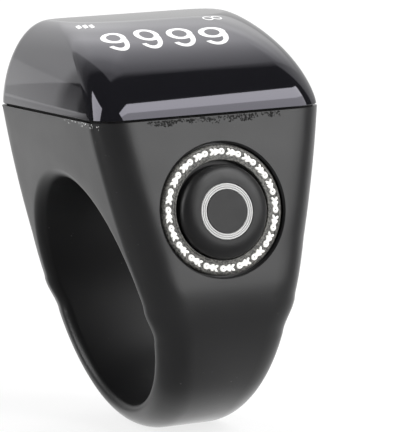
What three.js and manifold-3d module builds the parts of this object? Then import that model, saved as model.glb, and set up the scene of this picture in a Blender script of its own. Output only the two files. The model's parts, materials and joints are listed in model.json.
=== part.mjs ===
// Digital finger counter, worn as a ring: a moulded body with a finger bore, a hollow head under a
// smoked pillow-shaped cover, a display unit, a battery and boards in the head, and one push button
// in a round pocket of the leaning front face.
//
// Millimetres. +X runs along the finger, -Y is the button side, +Z is the display side.
// The origin is the centre of the finger bore.

import * as THREE from 'three';
import { mergeVertices } from 'three/addons/utils/BufferGeometryUtils.js';
import Module from 'manifold-3d';

const wasm = await Module();
wasm.setup();

// Finger bore and band
const BORE_RADIUS = 9.15;
const LEAD_IN_RADIUS = 0.8;
const LEAD_IN_SHARE = 0.3;
const BAND_SIDE_WALL = 3;
const BAND_SIDE_RADIUS = BORE_RADIUS + BAND_SIDE_WALL;
const BAND_BOTTOM_WALL = 1.98;
const BAND_BOTTOM_RADIUS = BORE_RADIUS + BAND_BOTTOM_WALL;
const BAND_HALF_LENGTH = 5.22;
const BAND_BOTTOM_HALF_LENGTH = 3.75;
const BAND_CORNER = 2.3;
const CORNER_REACH_SHARE = 0.83;
const CORNER_DEPTH_SHARE = 0.66;

// Head of the ring body; it stands on the bore, so a larger bore moves it out
const HEAD_RISE = 5.03;
const HEAD_TOP = BORE_RADIUS + HEAD_RISE;
const HEAD_FRONT_REACH = 1.25;
const HEAD_FRONT = BORE_RADIUS + HEAD_FRONT_REACH;
const HEAD_BACK_REACH = 2.15;
const HEAD_BACK = BORE_RADIUS + HEAD_BACK_REACH;
const HEAD_HALF_LENGTH = 9.5;
const HEAD_BULGE = 0.27;
const HEAD_CORNER = 2;
const HEAD_WALL = 1.5;
const SHOULDER_TOP = 0;
const SHOULDER_FOOT = -3;
const SHOULDER_HALF_LENGTH = 6.2;
const CROWN_WALL = 1.5;
const CAVITY_DEPTH = 6.18;
const CAVITY_FLOOR = HEAD_TOP - CAVITY_DEPTH;
const SWITCH_ROOM = 3.2;
const CAVITY_FRONT = HEAD_FRONT - SWITCH_ROOM;
const CAVITY_CORNER = 1.2;
const LEDGE_WIDTH = 0.9;

// Smoked cover and its adhesive
const SEAM_GAP = 0.15;
const COVER_OVERHANG = 0.1;
const COVER_HEIGHT = 6.77;
const COVER_WALL = 1.2;
const COVER_CORNER = 2.35;
const COVER_TOP_FRONT_CORNER = 6;
const COVER_TOP_BACK_CORNER = 1.5;
const COVER_CORNER_POWER = 4;
const COVER_CORNER_LIMIT = 0.48;
const COVER_SIDE_ROLL = 2.65;
const COVER_FRONT_ROLL = 8.88;
const COVER_BACK_ROLL = 6.23;
const COVER_SIDE_POWER = 1.52;
const COVER_FRONT_POWER = 1.37;
const COVER_BACK_POWER = 2.43;
const COVER_ROLL_SHARE = 0.3;
const ADHESIVE_INSET = 0.35;
const ADHESIVE_WIDTH = 0.7;

// Button unit, in depths below the front face
const BUTTON_DROP = 7.08;
const BUTTON_HEIGHT = HEAD_TOP - BUTTON_DROP;
const POCKET_RADIUS = 5.1;
const TRIM_CLEARANCE = 0.12;
const TRIM_WIDTH = 1.05;
const TRIM_DEPTH = 0.1;
const TRIM_THICKNESS = 0.5;
const TRIM_BREAK = 0.12;
const BUTTON_RADIUS = 3.65;
const BUTTON_PROUD = 0.75;
const BUTTON_RIM = 0.6;
const FLANGE_RADIUS = 4.2;
const FLANGE_THICKNESS = 0.4;
const FLANGE_PLAY = 0.15;
const BUTTON_TRAVEL = 0.3;
const WELL_CLEARANCE = 0.15;
const INLAY_RADIUS = 2.15;
const INLAY_WIDTH = 0.48;
const INLAY_DEPTH = 0.2;
const INLAY_GAP = 0.03;
const NIB_RADIUS = 0.8;
const NIB_LENGTH = 0.2;
const NIB_PLAY = 0.05;
const DOME_RADIUS = 1.8;
const DOME_RISE = 0.35;
const DOME_THICKNESS = 0.08;
const FLEX_THICKNESS = 0.15;
const FLEX_PAD_RADIUS = 2.1;
const FLEX_WIDTH = 3;
const FLEX_BEND = 0.5;
const STIFFENER_THICKNESS = 0.15;
const BOND_GAP = 0.04;
const SLOT_CLEARANCE = 0.2;

// Main board and what it carries underneath
const BOARD_DROP = 1.58;
const BOARD_SEAT = HEAD_TOP - BOARD_DROP;
const BOARD_THICKNESS = 0.6;
const BOARD_CLEARANCE = 0.25;
const SOLDER_GAP = 0.05;
const CHIP_DRAFT = 0.12;
const CHIP_CORNER = 0.15;
const CHIP_MARGIN = 2.2;
const CONTROLLER = { length: 4, width: 4, height: 0.8, side: -1, y: 1.2 };
const CHARGER = { length: 2.9, width: 1.6, height: 0.9, side: 1, y: 3.2 };
const CRYSTAL = { length: 3.2, width: 1.5, height: 0.7, side: 1, y: -0.4 };
const CONNECTOR = { length: 4.6, width: 2, height: 0.9 };
const SOCKET_WIDTH = 7.5;
const SOCKET_HEIGHT = 2.5;
const SOCKET_DEPTH = 5;
const SOCKET_WALL = 0.3;
const SOCKET_CHAMFER = 0.9;
const SOCKET_RECESS = 0.3;
const SOCKET_CLEARANCE = 0.2;
const TONGUE_WIDTH = 4.6;
const TONGUE_THICKNESS = 0.6;
const TONGUE_LENGTH = 4;

// Battery on top of the main board
const BATTERY_LENGTH = 10.6;
const BATTERY_WIDTH = 10.4;
const BATTERY_THICKNESS = 2.2;
const BATTERY_CENTRE = 2;
const BATTERY_EDGE = 0.9;
const PAD_THICKNESS = 0.3;
const PAD_MARGIN = 1;
const LEAD_RADIUS = 0.4;
const LEAD_SPREAD = 1.5;
const LEAD_REACH = 1.1;
const LEAD_ROOM = 1.85;
const LEAD_SIDES = 8;

// Display unit, laid along the slope of the cover
const DISPLAY_TILT = 8;
const DISPLAY_CENTRE_Y = 0.35;
const DISPLAY_RISE = 2.72;
const DISPLAY_CENTRE_Z = HEAD_TOP + DISPLAY_RISE;
const DISPLAY_HALF_LENGTH = 5.9;
const DISPLAY_HALF_WIDTH = 5.5;
const DISPLAY_CORNER = 0.6;
const DISPLAY_BOARD_THICKNESS = 0.5;
const REFLECTOR_HEIGHT = 0.9;
const REFLECTOR_RIM = 0.1;
const FILM_THICKNESS = 0.15;
const DIGIT_COUNT = 4;
const DIGIT_PITCH = 2.8;
const DIGIT_WIDTH = 2.4;
const DIGIT_LENGTH = 4.6;
const DIGIT_CENTRE_Y = -2.4;
const DIGIT_BAR = 0.5;
const STATUS_WIDTH = 0.9;
const STATUS_CENTRE_Y = 3.2;
const BATTERY_MARK_LENGTH = 1.9;
const LOOP_MARK_LENGTH = 1.7;
const STATUS_SPREAD = 4.2;
const LIGHT_CLEARANCE = 0.1;
const CARRIER_WALL = 0.5;
const CARRIER_CLEARANCE = 0.3;
const CARRIER_CORNER = 0.9;
const JUMPER_WIDTH = 5;
const JUMPER_CLEARANCE = 0.5;

// Facet counts
const ROUND_STEPS = 48;
const CORNER_STEPS = 5;
const WALL_STEPS = 8;
const SIDE_STEPS = 4;
const ROOF_STEPS = 6;
const OUTLINE_ARC_STEPS = 18;
const COVER_LEVELS = 12;

// How far a cutter runs past the face that it opens
const OVERCUT = 2;

// Materials
function finish(color, roughness, metalness = 0) {
  return new THREE.MeshStandardMaterial({ color, roughness, metalness });
}

const BODY_PLASTIC = finish(0x1d1d1f, 0.55);
const COVER_PLASTIC = finish(0x0b0b0d, 0.08);
const BUTTON_PLASTIC = finish(0x202022, 0.45);
const INLAY_PLASTIC = finish(0xd8d8d8, 0.5);
const BLACK_ADHESIVE = finish(0x141414, 0.9);
const BOARD_LAMINATE = finish(0x1f5a38, 0.5);
const CHIP_EPOXY = finish(0x18181a, 0.6);
const TINNED_STEEL = finish(0xb9bcc0, 0.35, 1);
const SPRING_STEEL = finish(0xc8cacc, 0.25, 1);
const POLYIMIDE = finish(0xb5722a, 0.45);
const FOIL_POUCH = finish(0xc3c6c9, 0.4, 0.8);
const FOAM_TAPE = finish(0x2a2a2a, 0.95);
const RED_WIRE = finish(0xa81a1a, 0.5);
const BLACK_WIRE = finish(0x161616, 0.5);
const WHITE_PLASTIC = finish(0xe9e9e6, 0.6);
const LIGHT_RESIN = finish(0xffffff, 0.4);
const DARK_PLASTIC = finish(0x232325, 0.6);

// Turns a closed geometry into a solid, and back
function solid(geometry) {
  geometry.deleteAttribute('normal');
  geometry.deleteAttribute('uv');
  const merged = mergeVertices(geometry);
  const index = merged.index.array;
  const faces = [];
  for (let k = 0; k < index.length; k += 3) {
    const [a, b, c] = [index[k], index[k + 1], index[k + 2]];
    if (a !== b && b !== c && c !== a) faces.push(a, b, c);
  }
  return new wasm.Manifold(new wasm.Mesh({
    numProp: 3,
    vertProperties: new Float32Array(merged.attributes.position.array),
    triVerts: new Uint32Array(faces),
  }));
}

function surface(body) {
  const mesh = body.getMesh();
  const geometry = new THREE.BufferGeometry();
  geometry.setAttribute('position', new THREE.BufferAttribute(new Float32Array(mesh.vertProperties), 3));
  geometry.setIndex(new THREE.BufferAttribute(new Uint32Array(mesh.triVerts), 1));
  return geometry;
}

// Skin over closed loops of equal length; fans close its ends, or the last loop joins the first
function loft(loops, joined = false) {
  const count = loops[0].length;
  const points = loops.flat();
  const faces = [];
  const rows = joined ? loops.length : loops.length - 1;
  for (let row = 0; row < rows; row += 1) {
    const next = (row + 1) % loops.length;
    for (let k = 0; k < count; k += 1) {
      const a = row * count + k;
      const b = row * count + (k + 1) % count;
      const c = next * count + (k + 1) % count;
      const d = next * count + k;
      faces.push(a, b, c, a, c, d);
    }
  }
  if (!joined) {
    for (const [row, below] of [[0, true], [loops.length - 1, false]]) {
      const centre = points.length;
      const sum = loops[row].reduce((total, point) => total.add(point), new THREE.Vector3());
      points.push(sum.divideScalar(count));
      for (let k = 0; k < count; k += 1) {
        const a = row * count + k;
        const b = row * count + (k + 1) % count;
        faces.push(...(below ? [centre, b, a] : [centre, a, b]));
      }
    }
  }
  const geometry = new THREE.BufferGeometry().setFromPoints(points);
  geometry.setIndex(faces);
  return geometry;
}

// Loop at height z round a rectangle with round corners that runs from -front to back in Y
function roundedLoop(halfLength, front, back, corner, z, backCorner = corner) {
  const loop = [];
  const corners = [
    [1, corner - front, -90, corner],
    [1, back - backCorner, 0, backCorner],
    [-1, back - backCorner, 90, backCorner],
    [-1, corner - front, 180, corner],
  ];
  for (const [side, centreY, start, radius] of corners) {
    const centreX = side * (halfLength - radius);
    for (let k = 0; k <= CORNER_STEPS; k += 1) {
      const angle = THREE.MathUtils.degToRad(start + 90 * k / CORNER_STEPS);
      const along = new THREE.Vector3(radius * Math.cos(angle), radius * Math.sin(angle), 0);
      loop.push(along.add(new THREE.Vector3(centreX, centreY, z)));
    }
  }
  return loop;
}

function plate(halfLength, front, back, corner, bottom, top) {
  return loft([
    roundedLoop(halfLength, front, back, corner, bottom),
    roundedLoop(halfLength, front, back, corner, top),
  ]);
}

// Round form about Z from [radius, height] pairs that start and end on the axis
function turned(profile) {
  const points = profile.map(([radius, height]) => new THREE.Vector2(radius, height));
  return new THREE.LatheGeometry(points, ROUND_STEPS).rotateX(Math.PI / 2);
}

function ring(profile) {
  return turned([...profile, profile[0]]);
}

function disc(radius, bottom, top) {
  return turned([[0, bottom], [radius, bottom], [radius, top], [0, top]]);
}

// Extrudes an outline drawn in X and Z along Y, from one Y to another
function alongY(shape, from, to, z) {
  return new THREE.ExtrudeGeometry(shape, { depth: to - from, bevelEnabled: false })
    .rotateX(Math.PI / 2).translate(0, to, z);
}

// Flat strip across X that follows corners in Y and Z with round bends
function strip(corners, width) {
  const line = [corners[0]];
  for (let k = 1; k < corners.length - 1; k += 1) {
    const before = corners[k - 1].clone().sub(corners[k]).normalize();
    const after = corners[k + 1].clone().sub(corners[k]).normalize();
    const reach = FLEX_BEND / Math.tan(Math.acos(before.dot(after)) / 2);
    const start = corners[k].clone().addScaledVector(before, reach);
    const end = corners[k].clone().addScaledVector(after, reach);
    line.push(...new THREE.QuadraticBezierCurve(start, corners[k], end).getPoints(CORNER_STEPS));
  }
  line.push(corners[corners.length - 1]);
  const near = [];
  const far = [];
  line.forEach((point, k) => {
    const next = line[Math.min(k + 1, line.length - 1)];
    const along = next.clone().sub(line[Math.max(k - 1, 0)]).normalize();
    const across = new THREE.Vector2(-along.y, along.x).multiplyScalar(FLEX_THICKNESS / 2);
    near.push(point.clone().add(across));
    far.unshift(point.clone().sub(across));
  });
  const turn = new THREE.Matrix4().makeBasis(
    new THREE.Vector3(0, 1, 0), new THREE.Vector3(0, 0, 1), new THREE.Vector3(1, 0, 0),
  );
  const outline = new THREE.Shape([...near, ...far]);
  return new THREE.ExtrudeGeometry(outline, { depth: width, bevelEnabled: false })
    .translate(0, 0, -width / 2).applyMatrix4(turn);
}

// Half-length of the ring body at height z: head taper, hollow shoulder, then the narrowing band
function halfLength(z) {
  if (z >= SHOULDER_TOP) {
    const share = (z - SHOULDER_TOP) / (HEAD_TOP - SHOULDER_TOP);
    const bulge = 4 * HEAD_BULGE * share * (1 - share);
    return THREE.MathUtils.lerp(SHOULDER_HALF_LENGTH, HEAD_HALF_LENGTH, share) + bulge;
  }
  if (z >= SHOULDER_FOOT) {
    const share = THREE.MathUtils.smoothstep(z, SHOULDER_FOOT, SHOULDER_TOP);
    return THREE.MathUtils.lerp(BAND_HALF_LENGTH, SHOULDER_HALF_LENGTH, share);
  }
  const share = (z + BAND_BOTTOM_RADIUS) / (SHOULDER_FOOT + BAND_BOTTOM_RADIUS);
  return THREE.MathUtils.lerp(BAND_BOTTOM_HALF_LENGTH, BAND_HALF_LENGTH, share);
}

// Lean of the straight wall that runs from an edge of the head down to touch the band's circle
function wallLean(edge) {
  return Math.atan2(HEAD_TOP, edge) - Math.acos(BAND_SIDE_RADIUS / Math.hypot(edge, HEAD_TOP));
}

const FRONT_LEAN = wallLean(HEAD_FRONT);
const BACK_LEAN = wallLean(HEAD_BACK);

// Outline of one side in Y and Z, from above the head down to the bottom, with outward normals
function outlineSide(edge, lean) {
  const normal = new THREE.Vector2(Math.cos(lean), Math.sin(lean));
  const touch = normal.clone().multiplyScalar(BAND_SIDE_RADIUS);
  const up = new THREE.Vector2(-Math.sin(lean), Math.cos(lean));
  const high = new THREE.Vector2(edge, HEAD_TOP).addScaledVector(up, OVERCUT);
  const points = [];
  for (let k = 0; k < WALL_STEPS; k += 1) {
    points.push({ place: high.clone().lerp(touch, k / WALL_STEPS), normal });
  }
  for (let k = 0; k < OUTLINE_ARC_STEPS; k += 1) {
    const angle = THREE.MathUtils.lerp(lean, -Math.PI / 2, k / OUTLINE_ARC_STEPS);
    const thinning = angle < 0 ? Math.sin(angle) ** 2 : 0;
    const radius = THREE.MathUtils.lerp(BAND_SIDE_RADIUS, BAND_BOTTOM_RADIUS, thinning);
    const outward = new THREE.Vector2(Math.cos(angle), Math.sin(angle));
    points.push({ place: outward.clone().multiplyScalar(radius), normal: outward });
  }
  return points;
}

// Loop round the body's wall at one point of the outline: lead-in, side, corner and their mirror image
function wallLoop({ place, normal }) {
  const radial = place.clone().normalize();
  const thickness = place.length() - BORE_RADIUS;
  const leadIn = Math.min(LEAD_IN_RADIUS, LEAD_IN_SHARE * thickness);
  const descent = THREE.MathUtils.clamp(1 - place.y / HEAD_TOP, 0, 1);
  const radius = THREE.MathUtils.lerp(HEAD_CORNER, BAND_CORNER, descent);
  const corner = Math.min(radius, CORNER_REACH_SHARE * thickness);
  const cornerDepth = Math.min(radius, CORNER_DEPTH_SHARE * thickness);
  const half = [];
  for (let k = 0; k <= CORNER_STEPS; k += 1) {
    const angle = k / CORNER_STEPS * Math.PI / 2;
    const at = radial.clone().multiplyScalar(BORE_RADIUS + leadIn * (1 - Math.cos(angle)));
    half.push([halfLength(at.y) - leadIn * (1 - Math.sin(angle)), at]);
  }
  const inner = radial.clone().multiplyScalar(BORE_RADIUS + leadIn);
  const outer = place.clone().addScaledVector(normal, -cornerDepth);
  for (let k = 1; k < SIDE_STEPS; k += 1) {
    const at = inner.clone().lerp(outer, k / SIDE_STEPS);
    half.push([halfLength(at.y), at]);
  }
  for (let k = 0; k <= CORNER_STEPS; k += 1) {
    const angle = k / CORNER_STEPS * Math.PI / 2;
    const at = place.clone().addScaledVector(normal, -cornerDepth * (1 - Math.sin(angle)));
    half.push([halfLength(at.y) - corner * (1 - Math.cos(angle)), at]);
  }
  const right = half.map(([x, at]) => new THREE.Vector3(x, at.x, at.y));
  const left = half.map(([x, at]) => new THREE.Vector3(-x, at.x, at.y));
  return [...right, ...left.reverse()];
}

// Frame of the button unit: origin on the front face, +Z out of the face, +Y up the face
const BUTTON_REACH = HEAD_FRONT + BUTTON_DROP * Math.tan(FRONT_LEAN);
const BUTTON_PLACE = new THREE.Vector3(0, -BUTTON_REACH, BUTTON_HEIGHT);
const BUTTON_TURN = Math.PI / 2 - FRONT_LEAN;

function onFace(geometry) {
  return solid(geometry.rotateX(BUTTON_TURN).translate(...BUTTON_PLACE));
}

// Depths of the button stack below the face
const TRIM_FLOOR = TRIM_DEPTH + TRIM_THICKNESS;
const FLANGE_TOP = TRIM_FLOOR + FLANGE_PLAY;
const FLANGE_FLOOR = FLANGE_TOP + FLANGE_THICKNESS;
const WELL_FLOOR = FLANGE_FLOOR + BUTTON_TRAVEL + WELL_CLEARANCE;
const DOME_TOP = FLANGE_FLOOR + NIB_LENGTH + NIB_PLAY;
const FLEX_TOP = DOME_TOP + DOME_RISE + BOND_GAP;
const STIFFENER_TOP = FLEX_TOP + FLEX_THICKNESS + BOND_GAP;
const SWITCH_FLOOR = STIFFENER_TOP + STIFFENER_THICKNESS + BOND_GAP;
const TRIM_OUTER = POCKET_RADIUS - TRIM_CLEARANCE;
const TRIM_INNER = TRIM_OUTER - TRIM_WIDTH;

// Places in the head
const COVER_BOTTOM = HEAD_TOP + SEAM_GAP;
const BOARD_TOP = BOARD_SEAT + BOARD_THICKNESS;
const CHIP_SEAT = BOARD_SEAT - SOLDER_GAP;
const BOARD_HALF_LENGTH = halfLength(BOARD_SEAT) - HEAD_WALL - BOARD_CLEARANCE;
const SOCKET_CENTRE_Z = CHIP_SEAT - SOCKET_HEIGHT / 2;
const SOCKET_MOUTH = HEAD_BACK + (HEAD_TOP - SOCKET_CENTRE_Z) * Math.tan(BACK_LEAN) - SOCKET_RECESS;
const FLEX_RUN_HEIGHT = CHIP_SEAT - CONNECTOR.height / 2;
const LOWER_FRONT = CAVITY_FRONT - LEDGE_WIDTH;
const CONNECTOR_FRONT = LOWER_FRONT - SLOT_CLEARANCE;
const BATTERY_FLOOR = BOARD_TOP + PAD_THICKNESS;
const BATTERY_FRONT = BATTERY_CENTRE - BATTERY_WIDTH / 2;
const DISPLAY_SLOPE = THREE.MathUtils.degToRad(DISPLAY_TILT);
const REFLECTOR_FLOOR = DISPLAY_BOARD_THICKNESS + BOND_GAP;
const FILM_FLOOR = REFLECTOR_FLOOR + REFLECTOR_HEIGHT + BOND_GAP;
const CARRIER_HALF_LENGTH = BATTERY_LENGTH / 2 + CARRIER_CLEARANCE + CARRIER_WALL;
const CARRIER_FRONT = LEAD_ROOM + CARRIER_WALL - BATTERY_FRONT;
const CARRIER_BACK = BATTERY_CENTRE + BATTERY_WIDTH / 2 + CARRIER_CLEARANCE + CARRIER_WALL;

function backWall(z) {
  return HEAD_BACK - HEAD_WALL + (HEAD_TOP - z) * Math.tan(BACK_LEAN);
}

// Space in the head: a narrow part over the bore's crown, and a wide part above the board's ledge
function headCavity() {
  const level = (z, inset) => roundedLoop(
    halfLength(z) - HEAD_WALL - inset, CAVITY_FRONT - inset, backWall(z) - inset, CAVITY_CORNER, z,
  );
  const lower = solid(loft([
    level(CAVITY_FLOOR, LEDGE_WIDTH),
    level(BOARD_SEAT + LEDGE_WIDTH, LEDGE_WIDTH),
  ]));
  const upper = solid(loft([level(BOARD_SEAT, 0), level(HEAD_TOP + OVERCUT, 0)]));
  const crownRadius = BORE_RADIUS + CROWN_WALL;
  const reach = 4 * HEAD_HALF_LENGTH;
  const crown = new THREE.CylinderGeometry(crownRadius, crownRadius, reach, 2 * ROUND_STEPS);
  return lower.add(upper).subtract(solid(crown.rotateZ(Math.PI / 2)));
}

// Slot up the front wall for the switch's flex tail, and the notch where the tail turns into the head
function flexSlot() {
  const width = FLEX_WIDTH + 2 * SLOT_CLEARANCE;
  const top = FLEX_TOP - SLOT_CLEARANCE;
  const reach = HEAD_TOP + OVERCUT - BUTTON_HEIGHT;
  const slot = new THREE.BoxGeometry(width, reach, SWITCH_FLOOR - top)
    .translate(0, reach / 2, -(SWITCH_FLOOR + top) / 2);
  const notchFloor = FLEX_RUN_HEIGHT - FLEX_BEND - 2 * SLOT_CLEARANCE;
  const notchFront = HEAD_FRONT - FLEX_TOP + SLOT_CLEARANCE;
  const notchTop = HEAD_TOP + OVERCUT;
  const notch = new THREE.BoxGeometry(width, notchFront - CONNECTOR_FRONT, notchTop - notchFloor)
    .translate(0, -(notchFront + CONNECTOR_FRONT) / 2, (notchTop + notchFloor) / 2);
  return onFace(slot).add(solid(notch));
}

// Outline of the charging socket, grown by a margin; its lower corners are cut off
function socketOutline(margin) {
  const wide = SOCKET_WIDTH / 2 + margin;
  const high = SOCKET_HEIGHT / 2 + margin;
  return new THREE.Shape([
    new THREE.Vector2(-wide, high),
    new THREE.Vector2(-wide, SOCKET_CHAMFER - high),
    new THREE.Vector2(SOCKET_CHAMFER - wide, -high),
    new THREE.Vector2(wide - SOCKET_CHAMFER, -high),
    new THREE.Vector2(wide, SOCKET_CHAMFER - high),
    new THREE.Vector2(wide, high),
  ]);
}

function ringBody() {
  const mirrored = (point) => new THREE.Vector2(-point.x, point.y);
  const front = outlineSide(HEAD_FRONT, FRONT_LEAN)
    .map(({ place, normal }) => ({ place: mirrored(place), normal: mirrored(normal) }));
  const back = outlineSide(HEAD_BACK, BACK_LEAN).reverse();
  const down = new THREE.Vector2(0, -1);
  const bottom = { place: down.clone().multiplyScalar(BAND_BOTTOM_RADIUS), normal: down };
  const stations = [...front, bottom, ...back];
  const last = stations[stations.length - 1].place;
  const up = new THREE.Vector2(0, 1);
  for (let k = 1; k < ROOF_STEPS; k += 1) {
    stations.push({ place: last.clone().lerp(front[0].place, k / ROOF_STEPS), normal: up });
  }
  const size = 4 * HEAD_HALF_LENGTH;
  const cuts = [
    solid(new THREE.BoxGeometry(size, size, size).translate(0, 0, HEAD_TOP + size / 2)),
    headCavity(),
    onFace(disc(POCKET_RADIUS, -TRIM_FLOOR - BOND_GAP, OVERCUT)),
    onFace(disc(FLANGE_RADIUS + WELL_CLEARANCE, -WELL_FLOOR, OVERCUT)),
    onFace(disc(FLEX_PAD_RADIUS + WELL_CLEARANCE, -SWITCH_FLOOR, OVERCUT)),
    flexSlot(),
    solid(alongY(
      socketOutline(SOCKET_CLEARANCE), SOCKET_MOUTH - SOCKET_DEPTH, SOCKET_MOUTH + OVERCUT,
      SOCKET_CENTRE_Z,
    )),
  ];
  const wall = solid(loft(stations.map(wallLoop), true));
  return surface(cuts.reduce((body, cut) => body.subtract(cut), wall));
}

// Pillow form of the cover: sides, front and back roll over to the top, each by its own power, and the
// upright front corners open out while the back ones tighten
function pillow(inset, sink) {
  const overhang = COVER_OVERHANG - inset;
  const easing = COVER_ROLL_SHARE * inset;
  const loops = [];
  for (let k = 0; k <= COVER_LEVELS; k += 1) {
    const share = Math.sin(k / COVER_LEVELS * Math.PI / 2);
    const roll = (reach, power) => (
      (reach - easing) * (1 - Math.max(0, 1 - share ** power) ** (1 / power))
    );
    const front = HEAD_FRONT + overhang - roll(COVER_FRONT_ROLL, COVER_FRONT_POWER);
    const back = HEAD_BACK + overhang - roll(COVER_BACK_ROLL, COVER_BACK_POWER);
    const corner = (top) => Math.min(
      THREE.MathUtils.lerp(COVER_CORNER, top, share ** COVER_CORNER_POWER) - easing,
      COVER_CORNER_LIMIT * (front + back),
    );
    loops.push(roundedLoop(
      HEAD_HALF_LENGTH + overhang - roll(COVER_SIDE_ROLL, COVER_SIDE_POWER), front, back,
      corner(COVER_TOP_FRONT_CORNER), COVER_BOTTOM + (COVER_HEIGHT - inset) * share,
      corner(COVER_TOP_BACK_CORNER),
    ));
  }
  if (sink > 0) {
    loops.unshift(loops[0].map((point) => point.clone().setZ(COVER_BOTTOM - sink)));
  }
  return solid(loft(loops));
}

function displayCover() {
  return surface(pillow(0, 0).subtract(pillow(COVER_WALL, OVERCUT)));
}

function coverAdhesive() {
  const frame = (inset, sink) => solid(plate(
    HEAD_HALF_LENGTH - inset, HEAD_FRONT - inset, HEAD_BACK - inset, HEAD_CORNER - inset / 2,
    HEAD_TOP - sink, COVER_BOTTOM + sink,
  ));
  return surface(frame(ADHESIVE_INSET, 0).subtract(frame(ADHESIVE_INSET + ADHESIVE_WIDTH, OVERCUT)));
}

function trimRing() {
  return ring([
    [TRIM_INNER, -TRIM_FLOOR],
    [TRIM_OUTER, -TRIM_FLOOR],
    [TRIM_OUTER, -TRIM_DEPTH - TRIM_BREAK],
    [TRIM_OUTER - TRIM_BREAK, -TRIM_DEPTH],
    [TRIM_INNER + TRIM_BREAK, -TRIM_DEPTH],
    [TRIM_INNER, -TRIM_DEPTH - TRIM_BREAK],
  ]);
}

// Button with its retaining flange, the nib that presses the dome, a round rim and the inlay's groove
function pushButton() {
  const rim = [];
  for (let k = 0; k <= 2 * CORNER_STEPS; k += 1) {
    const angle = k / (2 * CORNER_STEPS) * Math.PI / 2;
    const inward = BUTTON_RIM * (1 - Math.cos(angle));
    rim.push([BUTTON_RADIUS - inward, BUTTON_PROUD - BUTTON_RIM * (1 - Math.sin(angle))]);
  }
  const grooveOuter = INLAY_RADIUS + INLAY_GAP;
  const grooveInner = INLAY_RADIUS - INLAY_WIDTH - INLAY_GAP;
  const grooveFloor = BUTTON_PROUD - INLAY_DEPTH - INLAY_GAP;
  return turned([
    [0, -FLANGE_FLOOR - NIB_LENGTH],
    [NIB_RADIUS, -FLANGE_FLOOR - NIB_LENGTH],
    [NIB_RADIUS, -FLANGE_FLOOR],
    [FLANGE_RADIUS, -FLANGE_FLOOR],
    [FLANGE_RADIUS, -FLANGE_TOP],
    [BUTTON_RADIUS, -FLANGE_TOP],
    ...rim,
    [grooveOuter, BUTTON_PROUD],
    [grooveOuter, grooveFloor],
    [grooveInner, grooveFloor],
    [grooveInner, BUTTON_PROUD],
    [0, BUTTON_PROUD],
  ]);
}

function buttonInlay() {
  const inner = INLAY_RADIUS - INLAY_WIDTH;
  const floor = BUTTON_PROUD - INLAY_DEPTH;
  return ring([
    [inner, floor],
    [INLAY_RADIUS, floor],
    [INLAY_RADIUS, BUTTON_PROUD],
    [inner, BUTTON_PROUD],
  ]);
}

// Thin sprung dome, open underneath, whose top lies just below the nib
function snapDome() {
  const arc = (thickness) => {
    const points = [];
    for (let k = 0; k <= 2 * CORNER_STEPS; k += 1) {
      const share = k / (2 * CORNER_STEPS);
      const rise = (DOME_RISE - thickness) * (1 - share ** 2);
      points.push([(DOME_RADIUS - thickness) * share, rise - DOME_TOP - DOME_RISE]);
    }
    return points;
  };
  return turned([...arc(DOME_THICKNESS), ...arc(0).reverse()]);
}

function switchFlex() {
  const depth = FLEX_TOP + FLEX_THICKNESS / 2;
  const behindFace = (height) => new THREE.Vector2(
    depth / Math.cos(FRONT_LEAN) - HEAD_FRONT - (HEAD_TOP - height) * Math.tan(FRONT_LEAN), height,
  );
  const tail = strip([
    behindFace(BUTTON_HEIGHT),
    behindFace(FLEX_RUN_HEIGHT),
    new THREE.Vector2(-CONNECTOR_FRONT - SOLDER_GAP, FLEX_RUN_HEIGHT),
  ], FLEX_WIDTH);
  return surface(onFace(disc(FLEX_PAD_RADIUS, -FLEX_TOP - FLEX_THICKNESS, -FLEX_TOP)).add(solid(tail)));
}

function stiffener() {
  return disc(FLEX_PAD_RADIUS, -STIFFENER_TOP - STIFFENER_THICKNESS, -STIFFENER_TOP);
}

function mainBoard() {
  return plate(
    BOARD_HALF_LENGTH, CAVITY_FRONT - BOARD_CLEARANCE, backWall(BOARD_SEAT) - BOARD_CLEARANCE,
    CAVITY_CORNER, BOARD_SEAT, BOARD_TOP,
  );
}

// Moulded package under the board, its walls drafted from the middle
function chip({ length, width, height }) {
  const level = (draft, z) => roundedLoop(
    length / 2 - draft, width / 2 - draft, width / 2 - draft, CHIP_CORNER, z,
  );
  return loft([
    level(CHIP_DRAFT, CHIP_SEAT - height),
    level(0, CHIP_SEAT - height / 2),
    level(CHIP_DRAFT, CHIP_SEAT),
  ]);
}

function chargeSocket() {
  const back = SOCKET_MOUTH - SOCKET_DEPTH;
  const outside = alongY(socketOutline(0), back, SOCKET_MOUTH, SOCKET_CENTRE_Z);
  const floor = back + SOCKET_WALL;
  const inside = alongY(socketOutline(-SOCKET_WALL), floor, SOCKET_MOUTH + OVERCUT, SOCKET_CENTRE_Z);
  return surface(solid(outside).subtract(solid(inside)));
}

function socketTongue() {
  const back = SOCKET_MOUTH - SOCKET_DEPTH + SOCKET_WALL + SOLDER_GAP;
  return new THREE.BoxGeometry(TONGUE_WIDTH, TONGUE_LENGTH, TONGUE_THICKNESS)
    .translate(0, back + TONGUE_LENGTH / 2, SOCKET_CENTRE_Z);
}

function batteryCell() {
  const level = (inset, z) => roundedLoop(
    BATTERY_LENGTH / 2 - inset, BATTERY_WIDTH / 2 - inset, BATTERY_WIDTH / 2 - inset, BATTERY_EDGE, z,
  );
  const fold = BATTERY_EDGE / 2;
  const top = BATTERY_FLOOR + BATTERY_THICKNESS;
  return loft([
    level(fold, BATTERY_FLOOR),
    level(0, BATTERY_FLOOR + fold),
    level(0, top - fold),
    level(fold, top),
  ]);
}

function batteryPad() {
  const half = BATTERY_WIDTH / 2 - PAD_MARGIN;
  return plate(BATTERY_LENGTH / 2 - PAD_MARGIN, half, half, BATTERY_EDGE, BOARD_TOP, BATTERY_FLOOR);
}

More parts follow.
